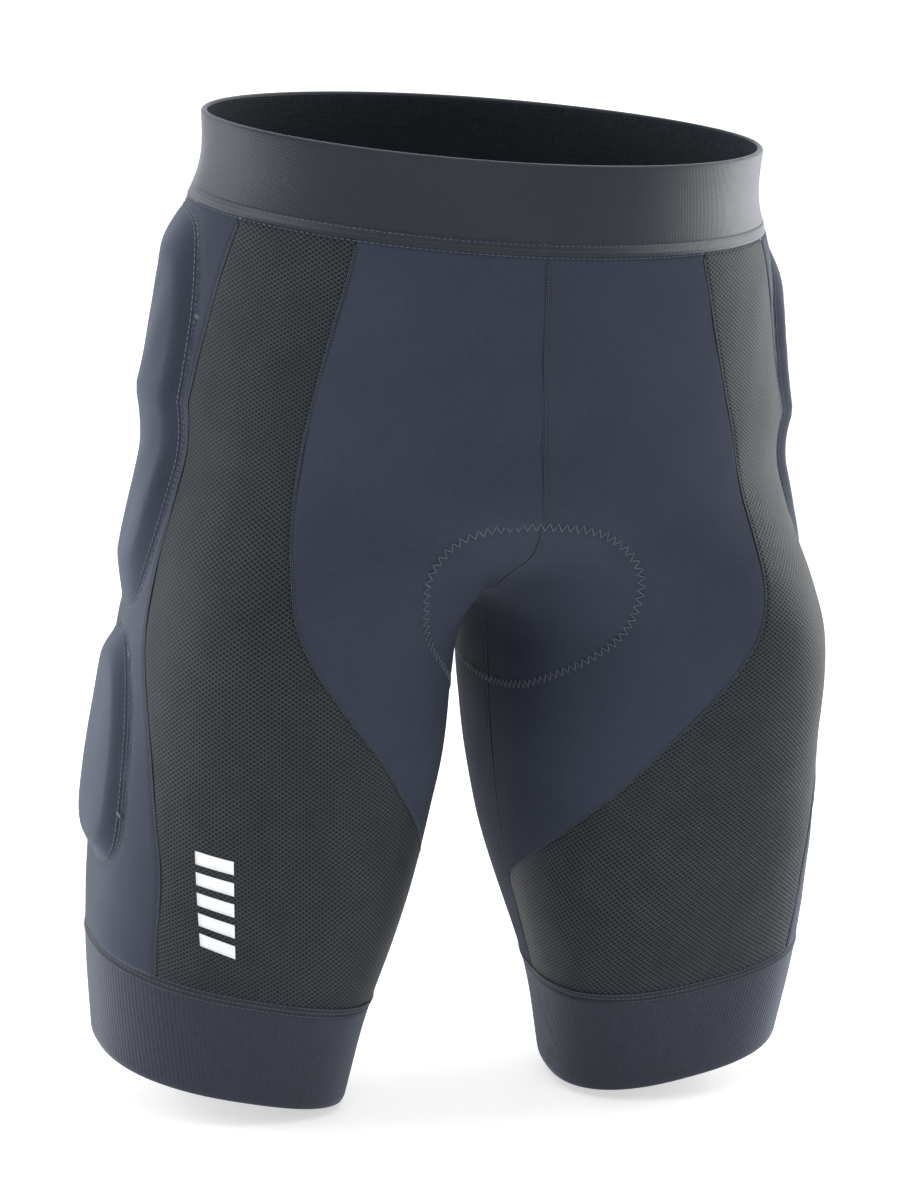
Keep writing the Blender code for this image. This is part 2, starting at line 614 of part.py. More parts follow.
PARTS = bpy.data.collections.new("padded_impact_shorts")
bpy.context.scene.collection.children.link(PARTS)
MATERIALS = {}
for slot_name, (color, roughness) in COLORS.items():
    material = bpy.data.materials.new(slot_name)
    material.use_nodes = True
    shader = material.node_tree.nodes["Principled BSDF"]
    shader.inputs["Base Color"].default_value = (*color, 1)
    shader.inputs["Roughness"].default_value = roughness
    shader.inputs["Metallic"].default_value = 0.0
    MATERIALS[slot_name] = material

make_waistband()
make_centre_seam("front_centre_seam", 0)
make_centre_seam("back_centre_seam", 1)
make_seat_pad()
for half_side, half_tag in ((-1, "R"), (1, "L")):
    make_panels(half_side, half_tag)
    make_side_seams(half_side, half_tag)
    make_leg_end(half_side, half_tag)
    make_pad(f"hip_pad_{half_tag}", f"hip_lining_{half_tag}", HIP_PAD, half_side)
    make_pad(f"thigh_pad_{half_tag}", f"thigh_lining_{half_tag}", THIGH_PAD, half_side)
    make_pad_stitch(f"hip_stitch_{half_tag}", HIP_PAD, half_side)
    make_pad_stitch(f"thigh_stitch_{half_tag}", THIGH_PAD, half_side)
make_thigh_mark()
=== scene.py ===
"""Looks of the padded impact shorts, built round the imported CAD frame: knit panels with
their seams and stitching, pads under the side panels, a seat pad, ribbed cuffs and a folded
elastic waistband. Metres, +Z up, the front faces -Y, and the wearer's left is +X."""

import math

import bmesh
import bpy
import numpy as np
from mathutils import Matrix, Vector


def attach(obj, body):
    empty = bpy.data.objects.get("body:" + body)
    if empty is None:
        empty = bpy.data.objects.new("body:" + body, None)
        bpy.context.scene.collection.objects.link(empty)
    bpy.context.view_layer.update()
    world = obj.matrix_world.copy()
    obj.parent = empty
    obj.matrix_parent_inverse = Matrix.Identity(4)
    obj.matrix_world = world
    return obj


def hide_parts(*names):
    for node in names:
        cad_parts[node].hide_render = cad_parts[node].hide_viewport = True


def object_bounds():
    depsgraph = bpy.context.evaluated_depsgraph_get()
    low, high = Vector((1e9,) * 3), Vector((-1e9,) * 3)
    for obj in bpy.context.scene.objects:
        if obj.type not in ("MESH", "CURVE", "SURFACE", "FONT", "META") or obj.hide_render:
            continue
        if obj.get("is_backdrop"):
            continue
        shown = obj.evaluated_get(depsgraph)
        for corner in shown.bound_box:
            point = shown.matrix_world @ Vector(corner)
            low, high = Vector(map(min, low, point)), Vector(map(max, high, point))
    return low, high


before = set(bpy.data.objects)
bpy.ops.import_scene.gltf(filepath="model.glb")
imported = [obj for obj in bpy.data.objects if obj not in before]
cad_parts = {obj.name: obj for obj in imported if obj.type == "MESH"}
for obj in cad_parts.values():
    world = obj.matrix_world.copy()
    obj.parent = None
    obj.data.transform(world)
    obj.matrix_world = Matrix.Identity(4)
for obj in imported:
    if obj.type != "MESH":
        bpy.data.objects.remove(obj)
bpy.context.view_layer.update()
RNG = np.random.default_rng(7)

# The body's form, in garment coordinates: heights run up from the hem, as in the CAD.
TOP_Z = 0.5062
WAIST_MID = np.array([0.0, 0.0, TOP_Z])
BAND_H = 0.0435
BAND_BASE = TOP_Z - BAND_H
CUFF_H = 0.0587
WAIST_TILT = 0.193
WAIST_TILT_FROM, WAIST_TILT_TO = 0.30, 0.46
HEM_TILT_X, HEM_TILT_Y = 0.206, 0.070
HEM_TILT_FROM, HEM_TILT_TO = 0.16, 0.05
HEM_PIVOT_X = 0.12
AXIS_X = 0.105                       # a leg's own line, round which its angles turn
LEG_RADIUS = 0.075                   # turns a distance round a leg into an angle
HALVINGS = 34

# Where a leg's outer and inner sides, front and back lie under the pads, as (height, value).
OUTER_X = ((0, 0.194), (0.05, 0.1988), (0.10, 0.1985), (0.145, 0.1962), (0.19, 0.1920),
           (0.25, 0.1866), (0.29, 0.1795), (0.325, 0.1726), (0.358, 0.1656), (0.40, 0.1645),
           (0.43, 0.1642), (0.452, 0.1605), (0.478, 0.1520), (0.52, 0.1545))
INNER_X = ((0, 0.0615), (0.05, 0.0522), (0.13, 0.026), (0.20, 0.0150), (0.225, 0.0130),
           (0.245, 0.0104), (0.255, 0.0066), (0.268, -0.0042), (0.282, -0.019), (0.297, -0.058),
           (0.34, -0.14), (0.40, -0.19), (0.60, -0.25))
FRONT_Y = ((0, -0.0569), (0.05, -0.0695), (0.15, -0.0977), (0.25, -0.1136), (0.36, -0.1030),
           (0.46, -0.1000), (0.515, -0.0884))
BACK_Y = ((0, 0.0633), (0.05, 0.0728), (0.15, 0.1150), (0.25, 0.1180), (0.36, 0.1150),
          (0.46, 0.1080), (0.515, 0.0900))
# How widely the two legs melt into one trunk.
BLEND = ((0, 0.012), (0.20, 0.016), (0.25, 0.018), (0.28, 0.024), (0.305, 0.045),
         (0.36, 0.03), (0.42, 0.004), (0.60, 0.004))
LEAST_BLEND = 0.003
# How a leg's sections lean: above 0, the front sits further out than the back.
TWIST = ((0, -0.06), (0.05, -0.03), (0.12, 0.02), (0.18, 0.04), (0.25, 0.09), (0.31, 0.03),
         (0.35, 0.0))
# The power of each section's rounded outline: 2 is an ellipse, and more is squarer.
SQUARENESS = ((0, 2.5), (0.22, 2.5), (0.34, 2.05), (0.44, 1.93), (0.55, 1.93))

# Seams as (height, angle round the leg line): 0 is the inseam, 90 the front, 180 the side.
FRONT_MESH_SEAM = ((0.108, 0), (0.118, 16), (0.135, 38), (0.16, 58.5), (0.19, 74), (0.22, 88),
                   (0.25, 98), (0.29, 101.5), (0.34, 99), (0.40, 91), (0.465, 80.5))
SIDE_MESH_SEAM = ((0.0, 144), (0.07, 141), (0.13, 137.5), (0.165, 140), (0.216, 145),
                  (0.25, 149), (0.285, 151.7), (0.32, 153), (0.353, 152.5), (0.38, 151),
                  (0.414, 145.8), (0.465, 133))
BACK_SIDE_SEAM = ((0.0, 226), (0.15, 228), (0.22, 234), (0.30, 242), (0.40, 243), (0.465, 238))

# Pads: middle angle, half-angle, middle height, half-height, corner power, proud height.
HIP_PAD = (192.0, 36.5, 0.3545, 0.1035, 5.0, 0.0066)
THIGH_PAD = (182.0, 27.5, 0.1765, 0.0655, 3.4, 0.0066)
PAD_SPOKES, STITCHING_SPOKES = 64, 240

# The cloth over a pad: how far in its slope runs, as a share of the outline, and its parts.
PAD_SLOPE = 0.24
PAD_RAMP, PAD_EASE = 0.35, 0.65
PAD_CROWN, CROWN_EDGE = 0.0008, 0.8
PAD_GROOVE, GROOVE_AT, GROOVE_WIDTH = 0.0008, 0.985, 0.03

# Seat pad outline on each side: height and how far round from the inseam it reaches.
SEAT_FRONT = ((0.212, 0), (0.216, 23), (0.224, 36), (0.232, 46), (0.240, 54), (0.250, 60),
              (0.262, 65.5), (0.276, 67), (0.290, 65), (0.300, 60.5), (0.308, 52), (0.3115, 40))
SEAT_BACK_STRETCH = 1.14
SEAT_END_WEIGHT = 2e3                # degrees for each metre past the outline's ends
SEAT_STEP, SEAT_STEPS = 0.002, 90
SEAT_SPOKES, ZIGZAG_SPOKES = 96, 288
SPOKE_CROWDING = 0.37                # draws the spokes towards the pad's front and back
SEAT_GROOVE, SEAT_GROOVE_WIDTH, SEAT_GROOVE_REACH = 0.0007, 0.0022, 0.02
SEAT_GROOVE_LOW, SEAT_GROOVE_HIGH = 0.19, 0.35

# Rows and columns of the cloth, its thickness, and the dip where a panel meets a seam.
ROW_STEP = 0.0030
SIDE_COLUMN_STEP = 0.0022
SKIN_T = 0.0008
SEAM_DIP, SEAM_DIP_WIDTH = 0.0006, 0.0013
CROTCH_ZONE, CROTCH_ROWS, CROTCH_GAP = 0.045, 22, 0.00005
EDGE_COLUMNS = np.array([0.00048, 0.0012, 0.00216])      # extra columns beside each seam
GRAIN = {"front": 60, "mesh": 120, "side": 190, "back": 270}
FRONT_PANEL_LOW, FRONT_SEAM_LOW = 0.1085, 0.1095
SEAM_END = 0.0035                    # from a seam's ends to the cuff and to the waistband
CROTCH_SEAM_GAP = 0.0006

# Slight unevenness: waves with their turns up the cloth and round it, phase and height.
RIPPLE_COUNT, RIPPLE_H, RIPPLE_FADE = 7, 0.00007, 0.03
RIPPLES = {side: [(RNG.uniform(6, 26), RNG.uniform(-2.5, 2.5), RNG.uniform(0, 6.3), RIPPLE_H)
                  for _ in range(RIPPLE_COUNT)] for side in (-1, 1)}

# A stitch's outline from end to end, as (place along it, thickness), and its cross-section.
BEAD = [(-1.0, 0.35), (-0.72, 0.85), (0.0, 1.0), (0.72, 0.85), (1.0, 0.35)]
STITCH_SIDES, STITCH_FLATNESS = 6, 0.8

# Stitches: how far apart, how long and how thick, as a radius.
SEAM_STITCH = (0.0016, 0.0011, 0.00013)
COVER_STITCH = (0.0027, 0.0022, 0.00020)
HEM_STITCH = (0.0030, 0.0021, 0.00018)
PAD_STITCH = (0.0030, 0.0023, 0.00032)
PAD_CROSS_STITCH = (0.0015, 0.0022, 0.00020)
SEAT_STITCH = (0.0023, 0.0050, 0.00028)

# Tapes: half their width, and how high they stand.
SEAM_TAPE = (0.0006, 0.00018)
COVER_TAPE = (0.0031, 0.00035)
HEM_TAPE = (0.0040, 0.00035)

# A tape's cross-section: how far across its corners lie and how high they stand.
TAPE_ACROSS = np.array([-1, -0.8, -0.3, 0.3, 0.8, 1])
TAPE_RISE = np.array([0.0, 0.75, 1.0, 1.0, 0.75, 0.0])
TAPE_SINK, TAPE_T = 0.0002, 0.0005

RIBS, POINTS_PER_RIB, RIB_H = 230, 6, 0.00018
WELD_GAP = 0.00002

# The pitches of the knits' patterns, in millimetres.
WALE, COURSE = 0.62, 0.9
MESH_WIDE, MESH_TALL = 3.5, 2.4
BAND_CORD, BAND_TICK = 0.9, 1.1
RIB_PITCH, LINING_PITCH = 0.7, 1.4

# Small bar tacks on the pads' stitching, as (height, angle).
BARTACKS = ((0.408, 156.5), (0.232, 161.5), (0.150, 157.0))


def spline(knots, z):
    """A smooth curve through (height, value) knots, held flat beyond its ends."""
    x, y = np.array(knots, float).T
    z = np.clip(np.asarray(z, float), x[0], x[-1])
    step = np.diff(x)
    slope = np.diff(y) / step
    tangent = np.empty(len(x))
    tangent[1:-1] = (slope[:-1] * step[1:] + slope[1:] * step[:-1]) / (step[:-1] + step[1:])
    tangent[0], tangent[-1] = slope[0], slope[-1]
    i = np.clip(np.searchsorted(x, z) - 1, 0, len(x) - 2)
    t = (z - x[i]) / step[i]
    return ((2 * t**3 - 3 * t**2 + 1) * y[i] + (t**3 - 2 * t**2 + t) * step[i] * tangent[i]
            + (3 * t**2 - 2 * t**3) * y[i + 1] + (t**3 - t**2) * step[i] * tangent[i + 1])


def smooth_step(t):
    """Eases from 0 to 1."""
    t = np.clip(t, 0, 1)
    return t * t * (3 - 2 * t)


def body(x, y, z):
    """Below zero inside the body: two leg tubes that melt into one trunk."""
    outer = spline(OUTER_X, z)
    inner = np.maximum(spline(INNER_X, z), -outer)
    front, back = spline(FRONT_Y, z), spline(BACK_Y, z)
    half_w, half_d = (outer - inner) / 2, (back - front) / 2
    mid_x = (outer + inner) / 2
    power = spline(SQUARENESS, z)
    size = np.sqrt(half_w * half_d)
    from_mid = y - (front + back) / 2
    mid_x = mid_x - spline(TWIST, z) * from_mid
    depth = np.abs(from_mid / half_d) ** power
    left = ((np.abs((x - mid_x) / half_w) ** power + depth) ** (1 / power) - 1) * size
    right = ((np.abs((x + mid_x) / half_w) ** power + depth) ** (1 / power) - 1) * size
    blend = np.maximum(spline(BLEND, z), LEAST_BLEND)
    mix = np.maximum(blend - np.abs(left - right), 0) / blend
    return np.minimum(left, right) - mix * mix * blend / 4


def root(low, high, inside):
    """Halves the way from low, which is inside, to high, which isn't."""
    for _ in range(HALVINGS):
        mid = (low + high) / 2
        here = inside(mid)
        low, high = np.where(here, mid, low), np.where(here, high, mid)
    return (low + high) / 2


def crotch_height():
    """Where the two leg tubes meet over the gap between the legs."""
    in_trunk, near_crotch, between_legs = 0.34, 0.25, 0.20
    middle = (spline(FRONT_Y, near_crotch) + spline(BACK_Y, near_crotch)) / 2
    return float(root(in_trunk, between_legs, lambda z: body(0.0, middle, z) < 0))


CROTCH_Z = crotch_height()


def centre_y(z, side):
    """Where the body's surface crosses x = 0 at a height above the crotch."""
    z = np.asarray(z, float)
    start, far = (spline(FRONT_Y, z) + spline(BACK_Y, z)) / 2, 0.2
    return root(start, start + side * far, lambda y: body(0 * y, y, z) < 0)


def centre_angles(z):
    """The half's first and last angle at each height: the inseam, or the centre lines."""
    z = np.asarray(z, float)
    joined = z > CROTCH_Z
    front = np.degrees(np.arctan2(-centre_y(z, -1), AXIS_X))
    back = 360 - np.degrees(np.arctan2(centre_y(z, 1), AXIS_X))
    return np.where(joined, front, 0.0), np.where(joined, back, 360.0)


def on_body(z, angle):
    """The left half's surface points at heights z and angles round the leg line."""
    z, angle = np.broadcast_arrays(np.asarray(z, float), np.radians(angle))
    dx, dy = -np.cos(angle), -np.sin(angle)
    far, slack = 0.30, 1e-4
    reach = root(np.zeros(z.shape), np.full(z.shape, far),
                 lambda r: (body(AXIS_X + r * dx, r * dy, z) < 0) & (AXIS_X + r * dx > -slack))
    return np.stack([AXIS_X + reach * dx, reach * dy, z], -1)


def normals(points):
    """Outward unit normals of the body's surface."""
    step = 1e-5
    grad = np.empty(points.shape)
    for axis in range(3):
        move = np.zeros(3)
        move[axis] = step
        ahead, behind = points + move, points - move
        grad[..., axis] = body(*np.moveaxis(ahead, -1, 0)) - body(*np.moveaxis(behind, -1, 0))
    return grad / np.linalg.norm(grad, axis=-1, keepdims=True)


def posed(points):
    """Tilts the waist ring and the hems, and moves the origin to the waist opening."""
    out = np.array(points, float)
    z = points[..., 2]
    hem = smooth_step((HEM_TILT_FROM - z) / (HEM_TILT_FROM - HEM_TILT_TO))
    waist = smooth_step((z - WAIST_TILT_FROM) / (WAIST_TILT_TO - WAIST_TILT_FROM))
    out[..., 2] += hem * (HEM_TILT_X * (np.abs(points[..., 0]) - HEM_PIVOT_X)
                          + HEM_TILT_Y * points[..., 1])
    out[..., 2] += waist * WAIST_TILT * points[..., 1]
    return out - WAIST_MID


def pad_level(pad, z, angle):
    """0 at a pad's middle and 1 on its outline."""
    mid_angle, half_angle, mid_z, half_z, power, _ = pad
    across = np.abs(angle - mid_angle) / half_angle
    along = np.abs(z - mid_z) / half_z
    return (across**power + along**power) ** (1 / power)


def seat_outline(point):
    """Below zero inside the seat pad's outline."""
    x, y, z = np.moveaxis(point, -1, 0)
    around = np.degrees(np.arctan2(np.abs(y), AXIS_X - np.abs(x)))
    stretch = np.where(y > 0, SEAT_BACK_STRETCH, 1.0)
    height = np.where(z > CROTCH_Z, CROTCH_Z + (z - CROTCH_Z) / stretch, z)
    low, high = SEAT_FRONT[0][0], SEAT_FRONT[-1][0]
    wide = around / stretch - spline(SEAT_FRONT, height)
    return np.maximum(wide, np.maximum(low - height, height - high) * SEAT_END_WEIGHT)


def seat_paths(spokes):
    """Walks over the body's surface from the crotch point, out to the seat pad's outline."""
    middle = (spline(FRONT_Y, CROTCH_Z) + spline(BACK_Y, CROTCH_Z)) / 2
    turn = np.arange(spokes) * 2 * math.pi / spokes
    turn = turn + SPOKE_CROWDING * np.sin(2 * turn)
    point = np.tile([0.0, float(middle), CROTCH_Z], (spokes, 1))
    heading = np.stack([np.cos(turn), np.sin(turn), 0 * turn], -1)
    path, corrections = [], 3
    for _ in range(SEAT_STEPS):
        normal = normals(point)
        heading = heading - normal * (heading * normal).sum(-1, keepdims=True)
        heading /= np.linalg.norm(heading, axis=-1, keepdims=True)
        path.append(point)
        point = point + SEAT_STEP * heading
        for _ in range(corrections):
            step = body(*np.moveaxis(point, -1, 0))[:, None]
            point = point - normals(point) * step
    path = np.array(path)
    outside = np.array([seat_outline(row) > 0 for row in path])
    reach = outside.argmax(axis=0).astype(float)
    smoothings = max(spokes // 24, 2) ** 2 // 4
    for _ in range(smoothings):
        reach = (np.roll(reach, 1) + 2 * reach + np.roll(reach, -1)) / 4
    return path, reach


def rows_between(low, high):
    """Heights for cloth rows, closer together towards the crotch, where its outline turns."""
    count = max(int(round((high - low) / ROW_STEP)), 2)
    even = np.linspace(low, high, count + 1)
    near = CROTCH_ZONE * np.linspace(0, 1, CROTCH_ROWS) ** 2 + CROTCH_GAP
    even = even[np.abs(even - CROTCH_Z) > CROTCH_ZONE]
    extra = np.concatenate([CROTCH_Z - near[::-1], CROTCH_Z + near])
    extra = extra[(extra > low) & (extra < high)]
    return np.unique(np.concatenate([even, extra, [low, high]]))


def profile(level):
    """How high the cloth stands over a pad, from 0 at its stitching to 1 on its top."""
    t = np.clip((1 - level) / PAD_SLOPE, 0, 1)
    return PAD_RAMP * t + PAD_EASE * t * t * (3 - 2 * t)


def bulge(z, angle):
    """How far the side panel is pushed out by the pads under it."""
    rise = 0.0
    for pad in (HIP_PAD, THIGH_PAD):
        level = pad_level(pad, z, angle)
        groove = PAD_GROOVE * np.exp(-((level - GROOVE_AT) / GROOVE_WIDTH) ** 2)
        crown = PAD_CROWN * np.clip(1 - (level / CROWN_EDGE) ** 2, 0, 1)
        rise = rise + pad[-1] * profile(level) + crown - groove
    return rise


def ripples(z, angle, side):
    """Slight unevenness of stretched cloth, none at the waist and the cuffs."""
    out = 0.0
    for wave_z, wave_a, phase, size in RIPPLES[side]:
        turns = z * wave_z + np.radians(angle) * wave_a
        out = out + size * np.sin(2 * math.pi * turns + phase)
    above_cuff, under_band = (z - CUFF_H) / RIPPLE_FADE, (BAND_BASE - z) / RIPPLE_FADE
    return out * smooth_step(above_cuff) * smooth_step(under_band)


def seat_groove(base):
    """The cloth is pulled in a little along the seat pad's zigzag stitching."""
    off = np.radians(seat_outline(base)) * np.hypot(base[..., 1], AXIS_X - np.abs(base[..., 0]))
    near = ((np.abs(off) < SEAT_GROOVE_REACH) & (base[..., 2] > SEAT_GROOVE_LOW)
            & (base[..., 2] < SEAT_GROOVE_HIGH))
    return np.where(near, SEAT_GROOVE * np.exp(-(off / SEAT_GROOVE_WIDTH) ** 2), 0.0)


def lifted(base, lift, side):
    """Posed points of one half, each lifted off its place on the body's surface."""
    out = base + normals(base) * np.broadcast_to(lift, base.shape[:-1])[..., None]
    out[..., 0] *= side
    return posed(out)


def layer(z, angle, lift, side):
    """Posed points of one half, at a height over the body's surface."""
    return lifted(on_body(z, angle), lift, side)


def cloth_grid(z, angle, lift, side):
    """As layer, with the cloth's own unevenness and the seat pad's groove."""
    base = on_body(z, angle)
    inward = seat_groove(base) - ripples(z, angle, side)
    return lifted(base, np.broadcast_to(lift, base.shape[:-1]) - inward, side)


def arc(points, axis):
    """Running length along one way of a grid."""
    step = np.linalg.norm(np.diff(points, axis=axis), axis=-1)
    start = np.zeros([1 if n == axis else s for n, s in enumerate(step.shape)])
    return np.concatenate([start, np.cumsum(step, axis=axis)], axis=axis)


LOOKS = bpy.data.collections.new("looks")
bpy.context.scene.collection.children.link(LOOKS)


def piece(name, points, faces, look, uv=None):
    """A smooth-shaded object on the one body, from points and faces."""
    mesh = bpy.data.meshes.new(name)
    mesh.from_pydata(np.asarray(points).reshape(-1, 3).tolist(), [], faces)
    if uv is not None:
        cut = mesh.uv_layers.new(name="cut")
        loops = np.empty(len(mesh.loops), np.int32)
        mesh.loops.foreach_get("vertex_index", loops)
        cut.data.foreach_set("uv", uv.reshape(-1, 2)[loops].ravel())
    mesh.shade_smooth()
    obj = bpy.data.objects.new(name, mesh)
    mesh.materials.append(look)
    LOOKS.objects.link(obj)
    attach(obj, "root")
    return obj


def grid_faces(rows, cols, wrap_cols=False, wrap_rows=False, flip=False):
    """Faces of a grid of points, which may close on itself either way."""
    faces = []
    for i in range(rows if wrap_rows else rows - 1):
        for j in range(cols if wrap_cols else cols - 1):
            a, b = i * cols + j, i * cols + (j + 1) % cols
            c, d = (i + 1) % rows * cols + (j + 1) % cols, (i + 1) % rows * cols + j
            faces.append((d, c, b, a) if flip else (a, b, c, d))
    return faces


def spread(start, end, share):
    """Angles from start to end. Where a panel's edge jumps away from the inseam, at the
    crotch, only the cloth beside that edge follows it."""
    front = end < 180.0
    start, end = np.where(front, start, 360.0 - end), np.where(front, end, 360.0 - start)
    share = np.where(front, share, 1 - share)
    pull, least_start, steepest = 0.85, 1e-3, 8.0
    power = np.clip(pull * end / np.maximum(start, least_start), 1.0, steepest)
    angles = end * share + start * (1 - share) ** power
    return np.where(front, angles, 360.0 - angles)


def panel(name, node_name, z, ends, grain, look, slot, side, over=None, step=ROW_STEP):
    """One cloth panel, cut between two seam lines, with its edges pulled in at the seams. Its
    knit runs along the grain line, at one angle round the leg."""
    start, end = ends
    middle = len(z) // 2
    span = layer(z[middle], np.array([start[middle], end[middle]]), 0.0, 1)
    curve_share, least_width = 1.15, 0.03
    width = max(np.linalg.norm(span[1] - span[0]) * curve_share, least_width)
    share = np.linspace(0, 1, int(width / step))
    edge = EDGE_COLUMNS / width
    share = np.unique(np.concatenate([share, edge, 1 - edge]))[None, :]
    angles = spread(start[:, None], end[:, None], share)
    heights = np.broadcast_to(z[:, None], angles.shape)
    flat = layer(heights, angles, 0.0, side)
    across = arc(flat, 1)
    near = np.minimum(across, across[:, -1:] - across)
    lift = -SEAM_DIP * np.exp(-(near / SEAM_DIP_WIDTH) ** 2)
    if over is not None:
        lift = lift + over(heights, angles)
    grid = cloth_grid(heights, angles, lift, side)
    origin = [np.interp(grain, turn, run) for turn, run in zip(angles, across)]
    uv = np.stack([across - np.array(origin)[:, None] + 0.5, heights], -1)
    faces = grid_faces(*grid.shape[:2], flip=side < 0)
    obj = piece(name, grid, faces, look, uv)
    thicken(obj, SKIN_T)
    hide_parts(node_name)


def thicken(obj, thickness):
    """Gives the cloth its thickness, inwards."""
    shell = obj.modifiers.new("thickness", "SOLIDIFY")
    shell.thickness = thickness
    shell.offset = -1.0
    shell.use_even_offset = False


def close_seam(obj):
    """Joins a ring of cloth where its two ends meet."""
    weld = obj.modifiers.new("seam", "WELD")
    weld.merge_threshold = WELD_GAP


def resample(points, normal, spacing, closed=False):
    """Evenly spaced places along a path: points, ways along it and normals."""
    if closed:
        points = np.concatenate([points, points[:1]])
        normal = np.concatenate([normal, normal[:1]])
    length = arc(points, 0)
    count = max(int(round(length[-1] / spacing)), 2)
    at = np.linspace(0, length[-1], count + 1)
    at = (at[1:] + at[:-1]) / 2

    def pick(values, where):
        return np.stack([np.interp(where, length, values[:, k]) for k in range(3)], -1)

    near = 3e-4
    ahead, behind = np.minimum(at + near, length[-1]), np.maximum(at - near, 0)
    along = pick(points, ahead) - pick(points, behind)
    along /= np.linalg.norm(along, axis=-1, keepdims=True)
    up = pick(normal, at)
    up -= along * (up * along).sum(-1, keepdims=True)
    up /= np.linalg.norm(up, axis=-1, keepdims=True)
    return pick(points, at), along, up


def stitch_points(centre, along, up, length, radius):
    """Small rounded stitches, each a bead of thread that lies along its way."""
    across = np.cross(up, along)
    turn = np.arange(STITCH_SIDES) * 2 * math.pi / STITCH_SIDES
    rings = []
    for where, size in BEAD:
        middle = centre + along * (where * length / 2)
        for t in turn:
            rings.append(middle + across * (math.cos(t) * size * radius)
                         + up * (math.sin(t) * size * radius * STITCH_FLATNESS))
    return np.stack(rings, axis=1)


def stitch_faces(count):
    """The faces of that many stitches, each closed at both ends."""
    rings, sides = len(BEAD), STITCH_SIDES
    faces = []
    for n in range(count):
        first = n * rings * sides
        for i in range(rings - 1):
            for j in range(sides):
                a, b = first + i * sides + j, first + i * sides + (j + 1) % sides
                faces.append((a, b, b + sides, a + sides))
        faces.append(tuple(first + j for j in range(sides - 1, -1, -1)))
        faces.append(tuple(first + (rings - 1) * sides + j for j in range(sides)))
    return faces


def stitches(name, groups, look, node_name=None):
    """One object from groups of (centres, ways, normals, length, radius)."""
    points = np.concatenate([stitch_points(*group) for group in groups])
    obj = piece(name, points, stitch_faces(len(points)), look)
    if node_name:
        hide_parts(node_name)


def surface_path(z, angle, lift, side):
    """Points and normals along a line on one half's surface."""
    low = layer(z, angle, lift, side)
    up = layer(z, angle, lift + 0.001, side) - low
    return low, up / np.linalg.norm(up, axis=-1, keepdims=True)


def tape(name, path, normal, size, look, node_name, closed=False):
    """A flat seam that stands a little over the cloth along a path."""
    half, rise = size
    if closed:
        along = np.roll(path, -1, 0) - np.roll(path, 1, 0)
    else:
        along = np.gradient(path, axis=0)
    across = np.cross(normal, along)
    across /= np.linalg.norm(across, axis=-1, keepdims=True)
    height = rise * TAPE_RISE - TAPE_SINK
    shape = path[:, None] + across[:, None] * (TAPE_ACROSS * half)[None, :, None]
    shape = shape + normal[:, None] * height[None, :, None]
    under = shape[:, ::-1] - normal[:, None] * TAPE_T
    loop = np.concatenate([shape, under], axis=1)
    rows, cols = loop.shape[:2]
    faces = grid_faces(rows, cols, wrap_cols=True, wrap_rows=closed)
    if not closed:
        faces.append(tuple(range(cols)))
        faces.append(tuple((rows - 1) * cols + j for j in range(cols - 1, -1, -1)))
    length = arc(path, 0)
    uv = np.stack([np.broadcast_to(np.arange(cols) * half / 3, (rows, cols)),
                   np.broadcast_to(length[:, None], (rows, cols))], -1)
    obj = piece(name, loop, faces, look, uv)
    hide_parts(node_name)


# Materials.

def material(name):
    """A new material, its tree and its shader."""
    made = bpy.data.materials.new(name)
    made.use_nodes = True
    tree = made.node_tree
    return made, tree, tree.nodes["Principled BSDF"]


def node(tree, kind, **settings):
    """A new node with its settings."""
    made = tree.nodes.new(kind)
    for key, value in settings.items():
        setattr(made, key, value)
    return made


def fill(made, values):
    """Sets inputs by name, and gives the node back."""
    for key, value in values.items():
        made.inputs[key].default_value = value
    return made


def maths(tree, operation, *values):
    """One sum on numbers or on other nodes' outputs."""
    made = node(tree, "ShaderNodeMath", operation=operation)
    for place, value in enumerate(values):
        if isinstance(value, (int, float)):
            made.inputs[place].default_value = value
        else:
            tree.links.new(value, made.inputs[place])
    return made.outputs[0]


def plus(tree, a, b):
    """Two numbers or outputs added."""
    return maths(tree, "ADD", a, b)


def times(tree, a, b):
    """Two numbers or outputs multiplied."""
    return maths(tree, "MULTIPLY", a, b)


def cut_mm(tree):
    """The cloth's own two ways, in millimetres."""
    uv = node(tree, "ShaderNodeUVMap", uv_map="cut")
    split = node(tree, "ShaderNodeSeparateXYZ")
    tree.links.new(uv.outputs[0], split.inputs[0])
    return times(tree, split.outputs[0], 1000.0), times(tree, split.outputs[1], 1000.0)


def wave(tree, value, pitch):
    """A wave from -1 to 1 that repeats every pitch."""
    return maths(tree, "COSINE", times(tree, value, 2 * math.pi / pitch))


def noise_at(tree, where, scale, detail=3.0):
    """Noise from 0 to 1, at a place that another node gives."""
    made = fill(node(tree, "ShaderNodeTexNoise"), {"Scale": scale, "Detail": detail})
    tree.links.new(where, made.inputs["Vector"])
    return made.outputs["Fac"]


def noise(tree, scale, detail=3.0):
    """Noise fixed to the object, from 0 to 1."""
    return noise_at(tree, node(tree, "ShaderNodeTexCoord").outputs["Object"], scale, detail)


def streaks(tree, u, v):
    """Uneven yarn: noise drawn out up and down the band, from about -0.9 to 0.9."""
    where, drawn_out = node(tree, "ShaderNodeCombineXYZ"), 0.25
    tree.links.new(u, where.inputs[0])
    tree.links.new(times(tree, v, drawn_out), where.inputs[1])
    return ramp(tree, noise_at(tree, where.outputs[0], 1.6), -0.9, 0.9, 0.3, 0.7)


def ramp(tree, value, low, high, from_low, from_high):
    """A value that runs from low to high while the input runs from from_low to from_high."""
    made = fill(node(tree, "ShaderNodeMapRange"),
                {"From Min": from_low, "From Max": from_high, "To Min": low, "To Max": high})
    tree.links.new(value, made.inputs["Value"])
    return made.outputs["Result"]


